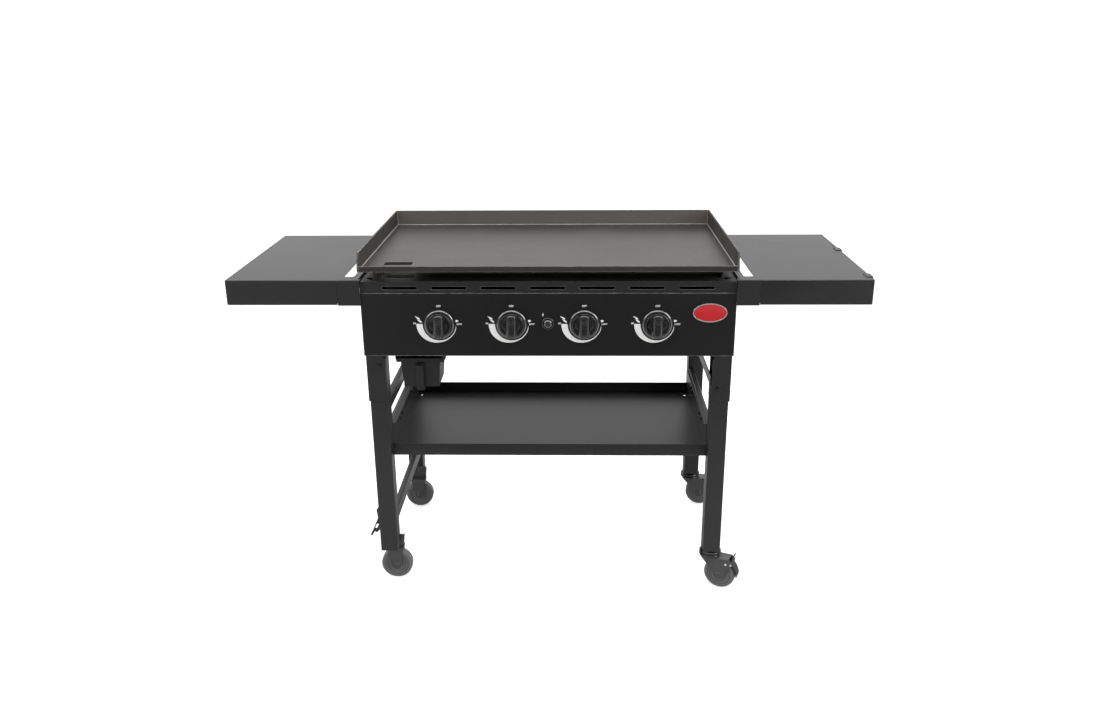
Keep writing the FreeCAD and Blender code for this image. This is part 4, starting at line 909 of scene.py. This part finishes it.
def knob_grip(height):
    """Grip bar. Its section is a flat top with round shoulders that flare to a wider foot:
    |x / w|^4 + |z / h|^2.5 = 1, with w = 13.4 + 2 (1 - z / h)^1.6 at each t along the bar.

    The ends follow a circle, y = t sqrt(R^2 - x^2), and h = H (1 - 0.07 t^2) (1 - |t|^8)^(1/4) falls to
    zero there. A dimple is pressed in near the top, depth 1.5 exp(-(x / 3.2)^2 - ((y - 15) / 5)^2)."""
    t = np.sin(np.linspace(-np.pi / 2, np.pi / 2, GRIP_ROWS))[:, None]
    turn = np.linspace(0, 2 * np.pi, GRIP_SIDES, endpoint=False)[None, :]
    across = np.sign(np.cos(turn)) * np.abs(np.cos(turn)) ** (2 / 4)
    up = np.sign(np.sin(turn)) * np.abs(np.sin(turn)) ** (2 / 2.5)
    tall = (height - GRIP_BASE) * (1 - GRIP_FALL * t ** 2) * np.maximum(1 - np.abs(t) ** 8, 0) ** (1 / 4)
    half = GRIP_HALF + GRIP_FLARE * (1 - np.maximum(up, 0)) ** 1.6
    x = np.repeat(across * half, GRIP_ROWS, 0)
    y = t * np.sqrt(GRIP_REACH ** 2 - x ** 2)
    dimple = DIMPLE_DEPTH * np.exp(-(x / DIMPLE_ACROSS) ** 2 - ((y - DIMPLE_PLACE) / DIMPLE_ALONG) ** 2)
    z = GRIP_BASE + np.where(up > 0, up * tall - dimple, up * GRIP_SINK)
    return capped(np.stack([x, y, z], -1) * MILLI)


print("the grip is", 2 * GRIP_REACH, "mm long and, above its foot,", 2 * GRIP_HALF, "mm wide")

# %% Four knobs
GRIP_CLEAR = 0.2


def make_knob(index):
    """Skirt and grip as one moulding, sized by the construction's knob and placed on its back face."""
    node = f"knob_{index}"
    low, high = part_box(node)
    centre = middle(node)
    radius = (high[0] - low[0]) / 2 / MILLI
    height = (high[1] - low[1]) / MILLI
    shape = merged(knob_skirt(radius), knob_grip(height - GRIP_CLEAR))
    shape = placed(shape, (centre[0], high[1], centre[2]), FORWARD, RIGHT)
    return piece(node + "_moulded", shape, GLOSS, body_of[node], crisp=50, node=node)


for index in FOUR_PLACES:
    knob = make_knob(index)
    print(knob.name, len(knob.data.polygons), "faces")

# %% [markdown]
# ## Rings round the knobs
# Each knob sits in a dark bright-plated ring. What the eye reads is its flank: a broad curve that
# gathers the dark and the bright of the room side by side. A plain turned step would show one tone.
# The four turned rings make one piece, because none of them moves.

# %% Four rings
RING_OUTER = 37.5
RING_INNER = 31.4
RING_HEIGHT = 6.0
RING_CROWN = 0.8
RING_FLANK = 9.0


def ring_profile():
    """Ring with a narrow crown, a broad flank that falls at about 45 degrees, and a closed back."""
    crown = arc((RING_INNER + RING_CROWN, RING_HEIGHT - 1.0), RING_CROWN, 180, 90, 4)
    flank = arc((0, 0), RING_FLANK, 66, 33, 12)
    flank = flank - flank[-1] + (RING_OUTER - 0.2, RING_HEIGHT - 4.0)
    return np.vstack([[(RING_INNER, 0)], crown, flank, [(RING_OUTER, 1.2), (RING_OUTER, 0), (RING_INNER, 0)]])


knob_places = [(middle(f"knob_{index}")[0], middle(f"knob_{index}")[2]) for index in FOUR_PLACES]
ring = lathe(ring_profile() * MILLI, steps=96)
rings = merged(*[on_panel(ring, x, z) for x, z in knob_places])
piece("dial_rings", rings, RING, "cart", crisp=50, node="bezels")
print("dial rings at x =", [round(x, 3) for x, z in knob_places])

# %% [markdown]
# ## Igniter
# The push button is a plated cap in a black collar. Both are round, so both are turned. The cap's
# broad shoulder and the shallow dish within it matter most: they draw the room's light into rings.

# %% Igniter's cap and collar


def igniter_cap():
    """Button: a broad round shoulder about a shallow dish with a low dome in the middle."""
    shoulder = arc((3.4, 0.4), 9.0, 42, 66, 8) + (0, 0.6)
    profile = np.vstack([[(0, -3), (10.2, -3), (10.2, 6.6)], shoulder,
                         [(4.4, 10.0), (3.2, 9.6), (1.8, 9.9), (0, 10.0)]])
    stem = np.array([(0, -22), (4, -22), (4, -3), (0, -3)])
    return merged(lathe(profile * MILLI, steps=64), lathe(stem * MILLI, steps=32))


def igniter_collar():
    """Collar: a bore with a round lip, and a flank that rounds down to the panel."""
    profile = np.vstack([[(11, 0), (11, 3.6)], arc((12.0, 3.8), 1.0, 180, 90, 4),
                         arc((12.2, 1.0), 3.8, 70, 10, 8), [(16, 0), (11, 0)]])
    return lathe(profile * MILLI, steps=72)


igniter_x, igniter_z = middle("igniter_collar")[0], middle("igniter_collar")[2]
piece("igniter_ring", on_panel(igniter_collar(), igniter_x, igniter_z), GLOSS, "cart", crisp=50,
      node="igniter_collar")
piece("igniter_cap", on_panel(igniter_cap(), igniter_x, igniter_z), RING, "igniter", crisp=50,
      node="igniter_button")
print("igniter at x =", round(igniter_x, 3))

# %% [markdown]
# ## Printed dials
# Round each knob the panel carries a printed crescent. It is widest at HI, on the left, and thins
# round the bottom towards LOW; small flame signs stand at both, and OFF is at the top. Ink is a
# layer, so here it is a real one, a twentieth of a millimetre thick: it catches light as print does
# and needs no picture. The words come from a text object that is turned into a mesh, because the
# outlines of letters are there already, drawn with care.

# %% Layers of ink
PRINT_LIFT = 0.05


def raised(line, height):
    """Points (right, up) of a line at a height above the panel."""
    return np.column_stack([line, np.full(len(line), height)])


def band(inner, outer):
    """Thin closed band of print between two lines of points (right, up), in millimetres."""
    lines = [raised(outer, 0), raised(outer, PRINT_LIFT), raised(inner, PRINT_LIFT), raised(inner, 0)]
    return capped(np.stack(lines, 1) * MILLI)


def flat_print(outline):
    """Thin closed plate of print with this outline (right, up), in millimetres."""
    outline = np.asarray(outline, float)
    return capped(np.stack([raised(outline, 0), raised(outline, PRINT_LIFT)]) * MILLI)


print("ink is", PRINT_LIFT, "mm thick")

# %% Crescent and flame
CRESCENT_INNER = 40.8
CRESCENT_WIDTH = 13.5
CRESCENT_TAIL = 1.8
CRESCENT_FROM, CRESCENT_TO = 178, 356
CRESCENT_TIP, CRESCENT_TAPER = 358, 14


def crescent():
    """Band from nine o'clock round the bottom to three: w(a) = W ((1 + cos(a - 180)) / 2)^2 + tail, with
    the angle a in degrees. Over the last 14 degrees the width also tapers towards the tip."""
    angle = np.linspace(CRESCENT_FROM, CRESCENT_TO, 72)
    swell = ((1 + np.cos(np.radians(angle - 180))) / 2) ** 2
    taper = np.minimum(1, (CRESCENT_TIP - angle) / CRESCENT_TAPER)
    width = (CRESCENT_WIDTH * swell + CRESCENT_TAIL) * taper
    ray = np.stack([np.cos(np.radians(angle)), np.sin(np.radians(angle))], -1)
    return band(ray * CRESCENT_INNER, ray * (CRESCENT_INNER + width)[:, None])


def flame(centre, width, length, direction):
    """Flame sign: a drop, x = w sin t |sin(t / 2)|^1.5 / 2 and y = l cos t / 2, turned by a direction."""
    t = np.linspace(0, 2 * np.pi, 28, endpoint=False)
    x = np.sin(t) * np.abs(np.sin(t / 2)) ** 1.5 / 2 * width
    y = np.cos(t) / 2 * length
    turn = math.radians(direction - 90)
    return flat_print(np.stack([centre[0] + x * math.cos(turn) - y * math.sin(turn),
                                centre[1] + x * math.sin(turn) + y * math.cos(turn)], -1))


print("the crescent has", len(crescent()[0]), "points")

# %% Words
LETTER_WEIGHT = 0.025


def lettering(word, size, centre):
    """A word as a thin plate of print: a text outline, made a little bolder, turned into a mesh."""
    curve = bpy.data.curves.new(word, "FONT")
    curve.body = word
    curve.size = size * MILLI
    curve.align_x = "CENTER"
    curve.align_y = "CENTER"
    curve.offset = LETTER_WEIGHT * size * MILLI
    curve.extrude = PRINT_LIFT / 2 * MILLI
    source = bpy.data.objects.new(word, curve)
    mesh = bpy.data.meshes.new_from_object(source)
    points = np.empty(len(mesh.vertices) * 3)
    mesh.vertices.foreach_get("co", points)
    corners = np.empty(len(mesh.loops), int)
    mesh.loops.foreach_get("vertex_index", corners)
    sizes = np.empty(len(mesh.polygons), int)
    mesh.polygons.foreach_get("loop_total", sizes)
    bpy.data.objects.remove(source)
    bpy.data.curves.remove(curve)
    bpy.data.meshes.remove(mesh)
    points = points.reshape(-1, 3) + np.array([centre[0], centre[1], PRINT_LIFT / 2]) * MILLI
    return points, corners, sizes


print("letters are widened by", LETTER_WEIGHT, "of their size")

# %% All the print on the panel
# A word has its letters' size and its middle; a flame its middle, width, length and direction.
WORDS = (("OFF", 6.6, (0, 46.7)), ("HI", 6.6, (-60.4, 2.8)), ("LOW", 5.8, (49.4, 1.0)))
FLAMES = (((-53.0, 17.4), 6.0, 15.0, 146), ((-48.6, 9.6), 6.0, 14.5, 146), ((44.4, 9.2), 8.5, 8.5, 5))
SPARK = ((1.2, 5.0), (-2.6, -0.4), (-0.3, -0.4), (-1.4, -5.0), (2.6, 1.0), (0.3, 1.0))
SPARK_RIGHT, SPARK_UP = -12, 22

words = [lettering(*word) for word in WORDS]
flames = [flame(*sign) for sign in FLAMES]
dial = merged(crescent(), *words, *flames)
prints = [on_panel(dial, x, z) for x, z in knob_places]
prints.append(on_panel(flat_print(SPARK), igniter_x + SPARK_RIGHT * MILLI, igniter_z + SPARK_UP * MILLI))
piece("panel_print", merged(*prints), PRINT, "cart", crisp=30)
print("prints:", len(prints))

# %% [markdown]
# ## Badge
# The plate on the panel's right is a pressed oval: a bright rim stands proud of a field of red
# enamel, which is poured in and swells slightly in the middle. Both are surfaces over an ellipse,
# so one profile, from the rim to the centre, is set in from the ellipse's edge by the same amount
# on both half axes.

# %% Enamel plate
# Each point is (inset from the edge, height).
BADGE_RIM = ((0, 0), (0, 2.0), (0.5, 2.8), (1.3, 3.0), (2.1, 2.8), (2.5, 2.2), (2.5, 0))
FIELD_INSET = 2.4
FIELD_REACH = 21.4
FIELD_BACK = 1.0
FIELD_EDGE = 2.0
FIELD_SWELL = 0.8


def oval(profile, half_width, half_height):
    """Rings of points: each (inset, height) of the profile goes round the ellipse, inset from its edge."""
    inset, height = np.asarray(profile, float).T
    angle = np.linspace(0, 2 * np.pi, 96, endpoint=False)
    x = (half_width - inset)[:, None] * np.cos(angle)
    y = (half_height - inset)[:, None] * np.sin(angle)
    return np.stack([x, y, np.repeat(height[:, None], len(angle), 1)], -1) * MILLI


def field_profile():
    """Side and swollen top of the enamel: h(s) = edge + swell (1 - (1 - s)^2), s from edge to middle."""
    s = np.linspace(0.05, 1, 10)
    top = np.stack([FIELD_INSET + FIELD_REACH * s, FIELD_EDGE + FIELD_SWELL * (1 - (1 - s) ** 2)], -1)
    return np.vstack([[(FIELD_INSET, FIELD_BACK), (FIELD_INSET, FIELD_EDGE)], top])


def make_badge():
    """Rim and enamel field. The rim is as wide and as high as the construction's badge."""
    low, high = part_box("badge_plate")
    centre = middle("badge_plate")
    half_width = (high[0] - low[0]) / 2 / MILLI
    half_height = (high[2] - low[2]) / 2 / MILLI
    rim = capped(oval(BADGE_RIM, half_width, half_height))
    field = capped(oval(field_profile(), half_width, half_height))
    piece("badge_rim", on_panel(rim, centre[0], centre[2]), SILVER, "cart", crisp=50, node="badge_plate")
    piece("badge_field", on_panel(field, centre[0], centre[2]), ENAMEL, "cart", crisp=60)
    return half_width, half_height


print("badge's half axes:", [round(half, 2) for half in make_badge()])

# %% [markdown]
# ## Wheels
# A caster's wheel is moulded in hard rubber: a tread with round shoulders and a parting line round
# its middle, a groove about three millimetres wide where the tread meets the disc, a dished web and
# a hub. All of it is one turned profile. Half of it is drawn and then mirrored, so that both faces
# of the wheel are sure to be alike.

# %% Four wheels
WHEEL_NODES = ("front_fixed_wheel", "back_fixed_wheel", "front_caster_wheel", "back_caster_wheel")
WHEEL_RADIUS = 42.0
WHEEL_HALF = 12.5
WHEEL_BORE = 4.05
TREAD_ROUND = 5.5
GROOVE_DEPTH = 2.2


def wheel_profile(radius, half, bore):
    """Half profile from the bore to the tread, then its mirror image back to the bore."""
    groove = half - GROOVE_DEPTH
    shoulder = arc((radius - TREAD_ROUND, half - TREAD_ROUND), TREAD_ROUND, 90, 12, 8)
    side = np.vstack([[(bore, half + 1), (8.2, half + 1)], arc((8.2, half + 0.2), 0.8, 90, 0, 3),
                      [(9.0, half - 2.2), (9.8, half - 3), (23.6, half - 3), (24.8, half - 2.6)],
                      arc((26.6, half - 1), 1.0, 150, 90, 3),
                      [(28.8, half), (29.4, groove), (31.6, groove), (32.2, half)], shoulder,
                      [(radius, half - 7.5), (radius, 0.5), (radius - 0.3, 0)]])
    other = side[:-1][::-1] * (1, -1)
    return np.vstack([side, other, side[:1]])


def make_wheel(node):
    """Wheel turned about the axle of its joint."""
    joint = next(item for item in joints.values() if item["child"] == body_of[node])
    shape = lathe(wheel_profile(WHEEL_RADIUS, WHEEL_HALF, WHEEL_BORE) * MILLI, steps=96)
    shape = placed(shape, joint["pos_m"], along=joint["axis"])
    return piece(node + "_moulded", shape, RUBBER, body_of[node], crisp=40, node=node)


for node in WHEEL_NODES:
    wheel = make_wheel(node)
    print(wheel.name, len(wheel.data.polygons), "faces")

# %% [markdown]
# ## Rivets and races of the swivel casters
# Two rivets on each swivel fork hold the brake's spring. Their bright heads catch the eye, so each
# is a low dome, on both cheeks of the fork. Above the fork two ball races turn on each other, one
# held by the leg and one by the fork. Both are turned shapes, and they are separate pieces, because
# one stays with the leg and the other swivels with the fork.

# %% Rivets on the swivel forks
ENDS = ("front", "back")
RIVET_PLACES = ((18.2, 33.1), (31.5, 34.0))
RIVET_RADIUS = 3.2
RIVET_FLATNESS = 0.75
CHEEK_FACE = 17.5


def rivet_head():
    """Low dome on a short shank."""
    dome = arc((0, -0.9), RIVET_RADIUS, 20, 90, 6) * (1, RIVET_FLATNESS)
    profile = np.vstack([[(0, -1.0), (RIVET_RADIUS, -1.0), (RIVET_RADIUS, 0)], dome])
    return lathe(profile * MILLI, steps=20)


def make_rivets(end):
    """Heads on both cheeks. The wheel's axle gives the way across; along it lies the fork's trail."""
    joint = joints[end + "_caster_roll"]
    across = np.asarray(joint["axis"], float)
    trail = np.array([across[1], -across[0], 0])
    heads = []
    for along, up in RIVET_PLACES:
        for side in (-1, 1):
            point = np.asarray(joint["pos_m"]) + trail * along * MILLI + np.array([0, 0, up * MILLI])
            point = point + across * side * CHEEK_FACE * MILLI
            heads.append(placed(rivet_head(), point, along=tuple(across * side)))
    piece(end + "_fork_rivets", merged(*heads), RIVET, end + "_caster", crisp=60)
    return len(heads)


print("rivet heads:", [make_rivets(end) for end in ENDS])

# %% Ball races of the swivels
RACE_RADIUS = 29.0
RACE_GAP = 8.4
UPPER_ROUND = 4.2
LOWER_ROUND = 3.1
LOWER_INSET = 2.6
PIN_RADIUS = 6
PIN_FROM = 8
PIN_HEAD_RADIUS = 9
PIN_HEAD_HEIGHT = 3.1


def upper_race(depth):
    """Leg's plate with a round flank and, under it, the king pin down to the node's full depth."""
    flank = arc((RACE_RADIUS - UPPER_ROUND, -UPPER_ROUND), UPPER_ROUND, 90, -64, 12)
    head = PIN_HEAD_HEIGHT - depth
    profile = np.vstack([[(0, 0), (RACE_RADIUS - UPPER_ROUND, 0)], flank,
                         [(PIN_RADIUS, -PIN_FROM), (PIN_RADIUS, head), (PIN_HEAD_RADIUS, head),
                          (PIN_HEAD_RADIUS, -depth), (0, -depth)]])
    return lathe(profile * MILLI, steps=72)


def lower_race():
    """Fork's race: a ring whose section is a full circle."""
    section = arc((RACE_RADIUS - LOWER_INSET, -RACE_GAP - LOWER_ROUND), LOWER_ROUND, -180, 180, 24)
    return lathe(section * MILLI, steps=72)


def make_races(end):
    """Upper and lower race, both measured down from the top of the caster's plate."""
    node = end + "_caster_plate"
    low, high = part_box(node)
    centre = middle(node)
    top = (centre[0], centre[1], high[2])
    upper = upper_race((high[2] - low[2]) / MILLI)
    piece(node + "_turned", placed(upper, top), RACE, body_of[node], crisp=40, node=node)
    piece(end + "_lower_race", placed(lower_race(), top), RACE, end + "_caster", crisp=40)
    return top


print("races hang from", [[round(float(x), 3) for x in make_races(end)] for end in ENDS])
